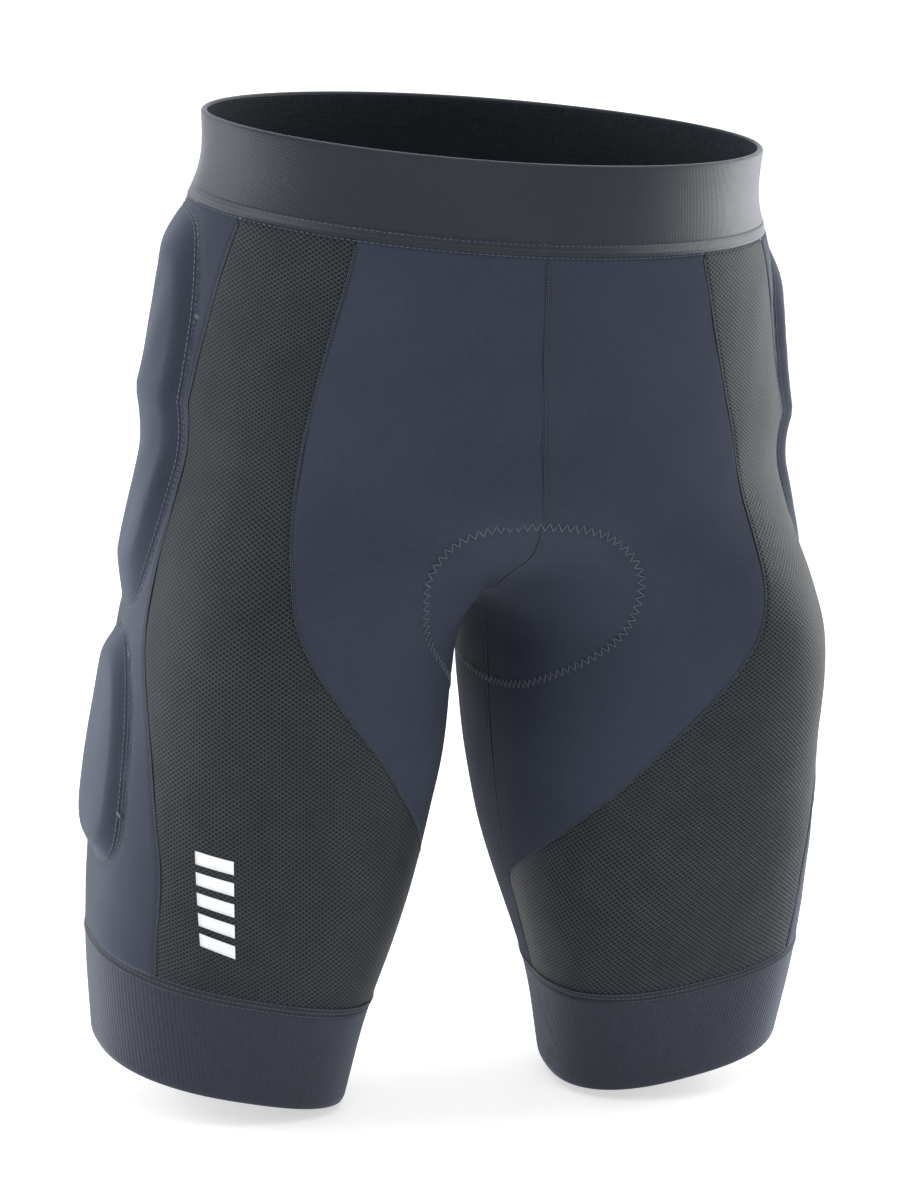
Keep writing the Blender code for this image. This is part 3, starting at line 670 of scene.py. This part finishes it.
def mix(tree, shader, share, dark, light):
    """Gives the shader a colour between two."""
    made = fill(node(tree, "ShaderNodeMix", data_type="RGBA"), {"A": (*dark, 1), "B": (*light, 1)})
    tree.links.new(share, made.inputs["Factor"])
    tree.links.new(made.outputs["Result"], shader.inputs["Base Color"])


def bump(tree, shader, height, distance):
    """Relief of the given height in metres."""
    made = fill(node(tree, "ShaderNodeBump"), {"Strength": 1.0, "Distance": distance})
    tree.links.new(height, made.inputs["Height"])
    tree.links.new(made.outputs[0], shader.inputs["Normal"])


def tune(shader, roughness, sheen, sheen_roughness=0.4, specular=0.2):
    """The shader's gloss, with a cool sheen."""
    fill(shader, {"Roughness": roughness, "Specular IOR Level": specular, "Sheen Weight": sheen,
                  "Sheen Roughness": sheen_roughness, "Sheen Tint": (0.75, 0.82, 1.0, 1)})


def smooth_knit(name, dark, light, sheen):
    """A fine knit: narrow wales and courses, and slightly uneven yarn."""
    made, tree, shader = material(name)
    u, v = cut_mm(tree)
    wales = times(tree, wave(tree, u, WALE), wave(tree, v, COURSE))
    cloudy = ramp(tree, noise(tree, 420.0, 4.0), -0.5, 0.5, 0.3, 0.7)
    soft = ramp(tree, noise(tree, 26.0), -0.3, 0.3, 0.35, 0.65)
    share = plus(tree, plus(tree, times(tree, wales, 0.10), 0.42),
                 times(tree, plus(tree, cloudy, soft), 0.32))
    mix(tree, shader, share, dark, light)
    bump(tree, shader, plus(tree, wales, times(tree, cloudy, 0.5)), 0.00004)
    tune(shader, 0.7, sheen, specular=0.04)
    return made


def mesh_knit(name, dark, light):
    """An open mesh: yarns that cross on two slants and leave small diamond holes. The holes are
    painted near-black, as painted shade of the inside seen through them.
    """
    made, tree, shader = material(name)
    u, v = cut_mm(tree)
    u, v = maths(tree, "DIVIDE", u, MESH_WIDE), maths(tree, "DIVIDE", v, MESH_TALL)
    crossing = maths(tree, "MAXIMUM", wave(tree, plus(tree, u, v), 1.0),
                     wave(tree, maths(tree, "SUBTRACT", u, v), 1.0))
    yarn = ramp(tree, crossing, 0.0, 1.0, 0.1, 1.0)
    uneven = ramp(tree, noise(tree, 60.0), 0.75, 1.1, 0.3, 0.7)
    # The holes' near-black colour is painted shade, standing for the dark inside seen through the
    # open mesh.
    mix(tree, shader, times(tree, yarn, uneven), dark, light)
    bump(tree, shader, yarn, 0.00030)
    tune(shader, 0.55, 0.02, specular=0.2)
    return made


def band_knit(name, dark, light):
    """Woven elastic: fine cords along it, and a satin face."""
    made, tree, shader = material(name)
    u, v = cut_mm(tree)
    cords, ticks = wave(tree, v, BAND_CORD), wave(tree, u, BAND_TICK)
    cloudy = streaks(tree, u, v)
    share = plus(tree, times(tree, plus(tree, cords, ticks), 0.09),
                 plus(tree, times(tree, cloudy, 0.25), 0.5))
    mix(tree, shader, share, dark, light)
    bump(tree, shader, plus(tree, cords, times(tree, ticks, 0.7)), 0.00005)
    tune(shader, 0.34, 0.35, 0.35, 0.32)
    return made


def shades(color, *factors):
    """Darker and lighter versions of a colour."""
    return [[c * factor for c in color] for factor in factors]


def plain(name, color, roughness, sheen=0.0, pitch=None, height=0.00008, vary=0.25):
    """One slightly uneven colour, with a fine grid of ribs where a pitch is given."""
    made, tree, shader = material(name)
    cloudy = ramp(tree, noise(tree, 350.0, 4.0), 0.2, 0.8, 0.3, 0.7)
    mix(tree, shader, cloudy, *shades(color, 1 - vary, 1 + vary))
    if pitch:
        u, v = cut_mm(tree)
        bump(tree, shader, plus(tree, wave(tree, v, pitch), wave(tree, u, pitch)), height)
    else:
        bump(tree, shader, cloudy, 0.00005)
    tune(shader, roughness, sheen)
    return made


SMOOTH = smooth_knit("smooth_knit_look", *shades((0.039, 0.046, 0.067), 0.85, 1.2), 0.03)
SIDE = smooth_knit("side_knit_look", *shades((0.032, 0.037, 0.053), 0.85, 1.2), 0.36)
# The mesh's dark colour is painted shade in its holes. The light colour is the yarn's own.
MESH = mesh_knit("mesh_knit_look", (0.003, 0.004, 0.005), (0.037, 0.048, 0.058))
BAND = band_knit("waistband_look", *shades((0.013, 0.0185, 0.026), 0.8, 1.25))
RIB = plain("rib_knit_look", (0.021, 0.0245, 0.037), 0.62, 0.45, RIB_PITCH, 0.00002)
INSIDE = plain("lining_look", (0.022, 0.029, 0.036), 0.85, 0.05, LINING_PITCH)
THREAD = plain("thread_look", (0.019, 0.022, 0.030), 0.6, 0.1)
LIGHT_THREAD = plain("light_thread_look", (0.12, 0.137, 0.158), 0.5, 0.1)
ZIGZAG = plain("zigzag_thread_look", (0.095, 0.110, 0.130), 0.45, 0.2)
MARK = plain("transfer_look", (0.82, 0.83, 0.84), 0.45, vary=0.03)
FOAM = plain("foam_look", (0.03, 0.032, 0.035), 0.9)
SILICONE = plain("silicone_look", (0.03, 0.03, 0.033), 0.35)


def half_shell(side, tag):
    """The cloth of one half: front, mesh, side and back panels."""
    z = rows_between(CUFF_H, BAND_BASE)
    first, last = centre_angles(z)
    front = np.maximum(spline(FRONT_MESH_SEAM, z), first)
    top = z > FRONT_PANEL_LOW
    side_front, side_back = spline(SIDE_MESH_SEAM, z), spline(BACK_SIDE_SEAM, z)
    for name, rows, ends, look, slot, more in (
            ("front", z[top], (first[top], front[top]), SMOOTH, "smooth_knit", ()),
            ("mesh", z, (front, side_front), MESH, "mesh_knit", ()),
            ("side", z, (side_front, side_back), SIDE, "smooth_knit", (bulge, SIDE_COLUMN_STEP)),
            ("back", z, (side_back, last), SMOOTH, "smooth_knit", ())):
        panel(f"{name}_cloth_{tag}", f"{name}_panel_{tag}", rows, ends, GRAIN[name], look, slot,
              side, *more)


def stitch_rows(line, places, kind, lift, closed=False):
    """Rows of stitches beside a path, each a distance across from it."""
    spacing, *size = kind
    centre, along, normal = resample(*line, spacing, closed)
    across = np.cross(normal, along)
    return [(centre + across * away + normal * lift, along, normal, *size) for away in places]


def crossing(places, kind, lift, slant):
    """Stitches that lean across a row, forwards and backwards in turn."""
    centre, along, normal = places
    lean = np.where(np.arange(len(along)) % 2 == 0, 1.0, -1.0)[:, None]
    way = np.cross(normal, along) + along * lean * slant
    way /= np.linalg.norm(way, axis=-1, keepdims=True)
    return centre + normal * lift, way, normal, *kind[1:]


def flat_seam(name, node_name, z, angle, side, centred=False):
    """A flat seam between two panels, with two rows of small stitches on it. A centred one
    joins the two halves, so it runs straight on the middle."""
    path, up = surface_path(z, angle, 0.0, side)
    if centred:
        path[:, 0], up[:, 0] = 0.0, 0.0
    tape(name, path, up, SEAM_TAPE, THREAD, node_name)
    return stitch_rows((path, up), (-0.0005, 0.0005), SEAM_STITCH, 0.0002)


def pad_rings(pad, share, spokes, shrink=0.0):
    """Heights and angles round a pad, at a share of its outline or a distance inside it."""
    mid_angle, half_angle, mid_z, half_z, power, _ = pad
    turn = np.arange(spokes) * 2 * math.pi / spokes
    reach = share * (np.abs(np.cos(turn))**power + np.abs(np.sin(turn))**power) ** (-1 / power)
    wide, tall = half_angle - math.degrees(shrink / LEG_RADIUS), half_z - shrink
    return mid_z + tall * reach * np.sin(turn), mid_angle + wide * reach * np.cos(turn)


def pad_line(pad, shrink, side):
    """Points and normals on the cloth, a distance inside a pad's outline."""
    z, angle = pad_rings(pad, 1.0, STITCHING_SPOKES, shrink)
    return surface_path(z, angle, bulge(z, angle), side)


def pad_stitching(name, node_name, pad, side):
    """Two rows of stitches round a pad, with the thread that crosses between them."""
    groups = []
    for shrink in (0.0006, 0.0028):
        groups += stitch_rows(pad_line(pad, shrink, side), (0,), PAD_STITCH, 0.00025, closed=True)
    between = resample(*pad_line(pad, 0.0017, side), PAD_CROSS_STITCH[0], closed=True)
    groups.append(crossing(between, PAD_CROSS_STITCH, 0.00015, 0.7))
    stitches(name, groups, LIGHT_THREAD, node_name)


def cuff(side, tag):
    """A ribbed cuff with its upper coverstitch and the grip ring inside it."""
    rounded, roll_in, rib_fade, least_rib, mean_wave = 0.0028, 0.0004, 0.004, 0.15, 0.6
    z = np.concatenate([[0.0, 0.0006, 0.0014, rounded], np.linspace(0.005, CUFF_H, 14)])
    count = RIBS * POINTS_PER_RIB
    angles = np.arange(count)[None, :] * 360.0 / count
    waves = np.abs(np.cos(np.arange(count) * math.pi / POINTS_PER_RIB))
    fade = np.clip(np.minimum(z / rib_fade, (CUFF_H - z) / rib_fade), least_rib, 1)
    edge = -roll_in * (1 - np.clip(z / rounded, 0, 1)) ** 2
    lift = edge[:, None] + RIB_H * (waves[None, :] - mean_wave) * fade[:, None]
    z = z[:, None]
    grid = layer(z, angles, lift + ripples(z, angles, side), side)
    closed = np.concatenate([grid, grid[:, :1]], axis=1)
    uv = np.stack([arc(closed, 1), arc(closed, 0)], -1)
    faces = grid_faces(*closed.shape[:2], flip=side < 0)
    obj = piece(f"ribbed_cuff_{tag}", closed, faces, RIB, uv)
    close_seam(obj)
    thicken(obj, 0.0010)
    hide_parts(f"leg_cuff_{tag}")
    coverstitch(f"cuff_tape_{tag}", f"cuff_seam_{tag}", leg_path(CUFF_H, side))
    section = ((0.001, 0.0013), (0.0085, 0.0013), (0.0158, 0.0013), (0.0158, 0.0020),
               (0.0085, 0.0021), (0.001, 0.0020))
    loop = np.stack([leg_path(height, side, -depth, 120)[0] for height, depth in section], axis=1)
    grip = piece(f"grip_ring_{tag}", loop, ring_faces(loop), SILICONE)
    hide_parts(f"cuff_gripper_{tag}")


def ring_faces(loop):
    """Faces of a ring whose section is closed too."""
    return grid_faces(*loop.shape[:2], wrap_cols=True, wrap_rows=True)


def leg_path(z, side, lift=0.0, count=360):
    """Points and normals round a leg at one height."""
    angles = np.arange(count) * 360.0 / count
    return surface_path(np.full(count, z), angles, lift, side)


def waist_path(z, lift=0.0, count=220):
    """Points and normals round the waist at one height."""
    first, last = centre_angles(np.array([z]))
    angles = np.linspace(first[0], last[0], count + 1)
    left, left_up = surface_path(np.full(count + 1, z), angles, lift, 1)
    right, right_up = left[::-1] * (-1, 1, 1), left_up[::-1] * (-1, 1, 1)
    return np.concatenate([left, right[1:-1]]), np.concatenate([left_up, right_up[1:-1]])


def coverstitch(name, node_name, line):
    """A double-needle seam: a low tape and three rows of stitches on it."""
    tape(name, *line, COVER_TAPE, THREAD, node_name, closed=True)
    rows = stitch_rows(line, (-0.0026, 0.0, 0.0026), COVER_STITCH, 0.0003, closed=True)
    stitches(name + "_stitches", rows, ZIGZAG)


def waistband():
    """The folded band, swept round the waist, with a rounded fold at its top."""
    fold_r, swell, count = 0.0017, 0.0003, 260
    heights = [min(BAND_BASE + BAND_H * t, TOP_Z - fold_r) for t in np.linspace(0, 1, 12)]
    outer = [(0.0, height) for height in heights[:-1]]
    fold = [(fold_r - fold_r * math.cos(a), TOP_Z - fold_r + fold_r * math.sin(a))
            for a in np.linspace(0, math.pi, 9)]
    inner = [(2 * fold_r, height) for height in heights[-2::-1]]
    rings = []
    for depth, height in outer + fold + inner:
        rise = swell * math.sin(math.pi * (height - BAND_BASE) / BAND_H)
        rings.append(waist_path(height, rise - depth, count)[0])
    grid = np.stack(rings)
    closed = np.concatenate([grid, grid[:, :1]], axis=1)
    uv = np.stack([arc(closed, 1), arc(closed, 0)], -1)
    obj = piece("folded_waistband", closed, grid_faces(*closed.shape[:2]), BAND, uv)
    obj.data.materials.append(INSIDE)
    inside = len(outer) + len(fold) - 2
    for face in obj.data.polygons:
        face.material_index = int(face.index // (closed.shape[1] - 1) >= inside)
    close_seam(obj)
    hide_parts("waistband_casing")
    hem = waist_path(BAND_BASE + 0.0022)
    tape("waist_hem", *hem, HEM_TAPE, BAND, "waistband_seam", closed=True)
    groups = []
    for height, lift in ((BAND_BASE - 0.0008, 0.0004), (BAND_BASE + 0.0050, 0.0006)):
        groups += stitch_rows(waist_path(height, lift), (0,), HEM_STITCH, 0, closed=True)
    stitches("waist_topstitch", groups, ZIGZAG)


def elastic():
    """The elastic inside the folded waistband."""
    near, far = 0.00105, 0.00205
    low, middle, high = BAND_BASE + 0.004, BAND_BASE + 0.022, TOP_Z - 0.0034
    section = ((low, near), (middle, near), (high, near), (high, far), (middle, far), (low, far))
    loop = np.stack([waist_path(height, -depth)[0] for height, depth in section], axis=1)
    around = arc(np.concatenate([loop, loop[:1]]), 0)[:-1]
    uv = np.stack([around, np.broadcast_to(np.arange(len(section)) * 0.01, around.shape)], -1)
    obj = piece("band_elastic", loop, ring_faces(loop), FOAM, uv)
    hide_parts("waistband_elastic")


def disc_faces(rings, spokes, first=0):
    """Faces of a round patch: a middle point, then rings of points outwards."""
    faces = [(first, first + 1 + j, first + 1 + (j + 1) % spokes) for j in range(spokes)]
    for i in range(rings - 1):
        for j in range(spokes):
            a, b = 1 + i * spokes + j, 1 + i * spokes + (j + 1) % spokes
            faces.append((first + a, first + a + spokes, first + b + spokes, first + b))
    return faces


def lens(name, outer, inner, spokes, look, node_name, uv):
    """A solid between two round patches whose rims are joined."""
    rings = (len(outer) - 1) // spokes
    rim = 1 + (rings - 1) * spokes
    faces = disc_faces(rings, spokes) + disc_faces(rings, spokes, len(outer))
    for j in range(spokes):
        a, b = rim + j, rim + (j + 1) % spokes
        faces.append((a, b, b + len(outer), a + len(outer)))
    obj = piece(name, np.concatenate([outer, inner]), faces, look, np.concatenate([uv, uv]))
    made = bmesh.new()
    made.from_mesh(obj.data)
    bmesh.ops.recalc_face_normals(made, faces=made.faces)
    made.to_mesh(obj.data)
    made.free()
    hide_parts(node_name)
    return obj


def pad_patch(pad, shares):
    """Heights, angles and a flat map of a pad, from its middle out to shares of its outline."""
    z, angle = pad_rings(pad, np.array(shares)[:, None], PAD_SPOKES)
    z, angle = np.append(pad[2], z), np.append(pad[0], angle)
    return z, angle, np.stack([np.radians(angle) * LEG_RADIUS, z], -1)


def pads_of(side, tag):
    """The foam pads and their pocket linings, inside the side panels."""
    for kind, pad in (("hip", HIP_PAD), ("thigh", THIGH_PAD)):
        z, angle, uv = pad_patch(pad, (0.2, 0.4, 0.55, 0.65, 0.73, 0.79))
        level = pad_level(pad, z, angle)
        under_cloth = 0.0026 + 0.0010 * np.clip((level - 0.6) / 0.2, 0, 1)
        top = pad[-1] * profile(level) - under_cloth
        outer, inner = layer(z, angle, top, side), layer(z, angle, -0.0009, side)
        foam = lens(f"{kind}_foam_{tag}", outer, inner, PAD_SPOKES, FOAM,
                    f"{kind}_pad_{tag}", uv)
        z, angle, uv = pad_patch(pad, (0.2, 0.4, 0.6, 0.78, 0.94))
        outer, inner = layer(z, angle, -0.0019, side), layer(z, angle, -0.0024, side)
        pocket = lens(f"{kind}_pocket_{tag}", outer, inner, PAD_SPOKES, INSIDE,
                      f"{kind}_lining_{tag}", uv)


def seat_rings(paths, share, depth):
    """The seat pad's middle and rings at shares of its outline, each at its own depth."""
    path, reach = paths
    spokes = len(reach)
    rows = [path[0, :1]]
    pick = np.arange(spokes)
    for part in share:
        at = np.minimum(reach * part, len(path) - 1.001)
        low = at.astype(int)
        rest = (at - low)[:, None]
        rows.append(path[low, pick] * (1 - rest) + path[low + 1, pick] * rest)
    points = np.concatenate(rows)
    depths = np.concatenate([[depth[0]], np.repeat(depth[1:], spokes)])
    return posed(points - normals(points) * depths[:, None])


def seat_pad():
    """The seat pad inside the crotch, and its zigzag stitching outside."""
    paths = seat_paths(SEAT_SPOKES)
    share = np.array([0.14, 0.28, 0.42, 0.55, 0.66, 0.75, 0.83, 0.89, 0.94])
    level = np.append(0, share)
    foam_t, thin_from, thin_over, thinned = 0.0070, 0.45, 0.5, 0.8
    foam = foam_t * (1 - np.clip((level - thin_from) / thin_over, 0, 1) ** 2 * thinned)
    flat = 0 * level
    uv = seat_rings(paths, share, flat)[:, :2]
    for name, outer, inner, look, slot, node_name in (
            ("seat_backing", flat + 0.0022, flat + 0.0027, INSIDE, "lining", "seat_pad_backing"),
            ("seat_foam", flat + 0.0030, foam + 0.0030, FOAM, "foam", "seat_pad_foam"),
            ("seat_cover", foam + 0.0034, foam + 0.0040, SMOOTH, "seat_cover", "seat_pad_cover")):
        face = seat_rings(paths, share, outer)
        made = lens(name, face, seat_rings(paths, share, inner), SEAT_SPOKES, look,
                    node_name, uv)
    paths = seat_paths(ZIGZAG_SPOKES)
    low = seat_rings(paths, (1.0,), np.array([0, 0.0003]))[1:]
    up = seat_rings(paths, (1.0,), np.array([0, -0.0007]))[1:] - low
    up /= np.linalg.norm(up, axis=-1, keepdims=True)
    outline = resample(low, up, SEAT_STITCH[0], closed=True)
    zigzag = crossing(outline, SEAT_STITCH, 0.0004, 0.55)
    stitches("seat_zigzag", [zigzag], ZIGZAG, "seat_pad_stitch")


def thigh_mark():
    """A plain transfer of slanted bars on the wearer's right thigh."""
    points, faces = [], []
    low, high = 0.0835, 0.1415
    bars, filled, slope, thick = 5, 0.62, 0.004, 0.00035
    start_angle, wide_angle = 114.5, 11.0
    rows, cols = 5, 9
    each = rows * cols
    rim = (list(range(cols)) + list(range(2 * cols - 1, each, cols))
           + list(range(each - 2, each - cols - 1, -1)) + list(range(each - 2 * cols, 0, -cols)))
    across = np.linspace(0, 1, cols)[None, :]
    up = np.linspace(0, 1, rows)[:, None] * (high - low) / bars * filled
    for n in range(bars):
        z = low + (high - low) * n / bars + up + slope * across
        angle = start_angle + wide_angle * across + 0 * up
        first = len(points) * each
        faces += [tuple(first + k for k in face) for face in grid_faces(rows, cols)]
        first_under = first + each
        faces += [(first + a, first + b, first_under + b, first_under + a)
                  for a, b in zip(rim, rim[1:] + rim[:1])]
        faces += [tuple(first_under + k for k in face)
                  for face in grid_faces(rows, cols, flip=True)]
        points += [layer(z, angle, lift, -1).reshape(-1, 3) for lift in (thick, 0.0)]
    obj = piece("slanted_bars", np.concatenate(points), faces, MARK)
    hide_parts("thigh_mark")


def seams():
    """Every flat seam, and the stitches on all of them."""
    groups = []
    low, high = CUFF_H + SEAM_END, BAND_BASE - SEAM_END
    for side, tag in ((-1, "R"), (1, "L")):
        z = rows_between(low, high)
        for name, knots in (("side_mesh_seam", SIDE_MESH_SEAM), ("back_side_seam", BACK_SIDE_SEAM)):
            groups += flat_seam(f"{name}_{tag}_tape", f"{name}_{tag}", z, spline(knots, z), side)
        z = rows_between(FRONT_SEAM_LOW, high)
        groups += flat_seam(f"front_mesh_tape_{tag}", f"front_mesh_seam_{tag}", z,
                            spline(FRONT_MESH_SEAM, z), side)
        z = rows_between(low, CROTCH_Z - CROTCH_SEAM_GAP)
        groups += flat_seam(f"inseam_tape_{tag}", f"inseam_{tag}", z, 0 * z, side)
    z = rows_between(CROTCH_Z + CROTCH_SEAM_GAP, high)
    for end, name in ((0, "front_centre"), (1, "back_centre")):
        groups += flat_seam(f"{name}_tape", f"{name}_seam", z, centre_angles(z)[end], 1, True)
    stitches("flat_seam_stitches", groups, ZIGZAG)


def bartack(z, angle, side):
    """A short dense bar of stitches across a row."""
    half, count, lean, lift = 0.0035, 9, 0.3, 0.0005
    angles = np.array([angle, angle])
    path, up = surface_path(np.array([z, z + 0.001]), angles, bulge(np.array([z, z]), angles), side)
    along = path[1] - path[0]
    along /= np.linalg.norm(along)
    way = np.cross(up[0], along) + lean * along
    way /= np.linalg.norm(way)
    thread = np.cross(up[0], way) + way * lean
    offsets = np.linspace(-half, half, count)[:, None]
    return (path[0] + way * offsets + up[0] * lift, np.tile(thread, (count, 1)),
            np.tile(up[0], (count, 1)), 0.0026, 0.00030)


def bartacks():
    """The bar tacks on the pads' stitching, on both sides."""
    groups = [bartack(z, angle, side) for side in (-1, 1) for z, angle in BARTACKS]
    stitches("bartacks", groups, LIGHT_THREAD)


def studio():
    """A pale floor that curves up behind, soft lights and a near-white world."""
    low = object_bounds()[0][2] - 0.004
    half_wide, bend_start, bend_r, tall = 9.0, 2.5, 1.5, 6.0
    run = [(-half_wide, 0.0), (bend_start, 0.0)]
    run += [(bend_start + bend_r * math.sin(a), bend_r - bend_r * math.cos(a))
            for a in np.linspace(0.1, 1.57, 14)]
    run += [(bend_start + bend_r, tall)]
    points = [(x, y, low + z) for y, z in run for x in (-half_wide, half_wide)]
    faces = [(2 * i, 2 * i + 1, 2 * i + 3, 2 * i + 2) for i in range(len(run) - 1)]
    mesh = bpy.data.meshes.new("floor")
    mesh.from_pydata(points, [], faces)
    mesh.shade_smooth()
    floor = bpy.data.objects.new("floor", mesh)
    bpy.context.scene.collection.objects.link(floor)
    made, _, shader = material("floor_look")
    fill(shader, {"Base Color": (0.93, 0.93, 0.93, 1), "Roughness": 0.9,
                  "Specular IOR Level": 0.1, "Emission Color": (1.0, 1.0, 1.0, 1),
                  "Emission Strength": 0.5})
    mesh.materials.append(made)
    floor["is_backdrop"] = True
    world = bpy.data.worlds.new("studio")
    world.use_nodes = True
    fill(world.node_tree.nodes["Background"], {"Color": (1.0, 1.0, 1.0, 1), "Strength": 0.6})
    bpy.context.scene.world = world
    bpy.context.scene.view_settings.view_transform = "Standard"
    middle = Vector((0, 0, -0.25))
    for name, place, power in (("left_box", (-1.7, 0.35, 0.15), 22.0),
                               ("right_box", (1.7, 0.35, 0.15), 22.0),
                               ("top_box", (0.1, -1.2, 1.6), 6.0)):
        lamp = bpy.data.lights.new(name, "AREA")
        lamp.shape = "SQUARE"
        lamp.size = 1.2
        lamp.energy = power
        obj = bpy.data.objects.new(name, lamp)
        obj.location = place
        aim = middle - obj.location
        obj.rotation_euler = aim.to_track_quat("-Z", "Y").to_euler()
        bpy.context.scene.collection.objects.link(obj)


def camera():
    """A three-quarter view of the front from the wearer's right, a little from above."""
    azimuth, elevation, roll = math.radians(-18.43), math.radians(9.09), math.radians(2.78)
    distance, view_angle = 1.5004, math.radians(24.34)
    target = Vector((-0.00905, 0.0, 0.2539 - TOP_Z))
    forward = Vector((-math.sin(azimuth) * math.cos(elevation),
                      math.cos(azimuth) * math.cos(elevation), -math.sin(elevation)))
    right = Vector((math.cos(azimuth), math.sin(azimuth), 0.0))
    place = target - forward * distance
    up = right.cross(forward)
    turned = right * math.cos(roll) + up * math.sin(roll)
    upright = up * math.cos(roll) - right * math.sin(roll)
    optics = bpy.data.cameras.new("camera")
    optics.sensor_fit = "VERTICAL"
    optics.angle_y = view_angle
    optics.clip_start, optics.clip_end = 0.05, 50.0
    obj = bpy.data.objects.new("camera", optics)
    turn = Matrix((turned, upright, -forward)).transposed()
    obj.matrix_world = Matrix.Translation(place) @ turn.to_4x4()
    bpy.context.scene.collection.objects.link(obj)
    bpy.context.scene.camera = obj


camera()
waistband()
seat_pad()
for half_side, half_tag in ((-1, "R"), (1, "L")):
    half_shell(half_side, half_tag)
    cuff(half_side, half_tag)
    pads_of(half_side, half_tag)
    pad_stitching(f"hip_stitching_{half_tag}", f"hip_stitch_{half_tag}", HIP_PAD, half_side)
    pad_stitching(f"thigh_stitching_{half_tag}", f"thigh_stitch_{half_tag}", THIGH_PAD, half_side)
seams()
bartacks()
thigh_mark()
elastic()
studio()
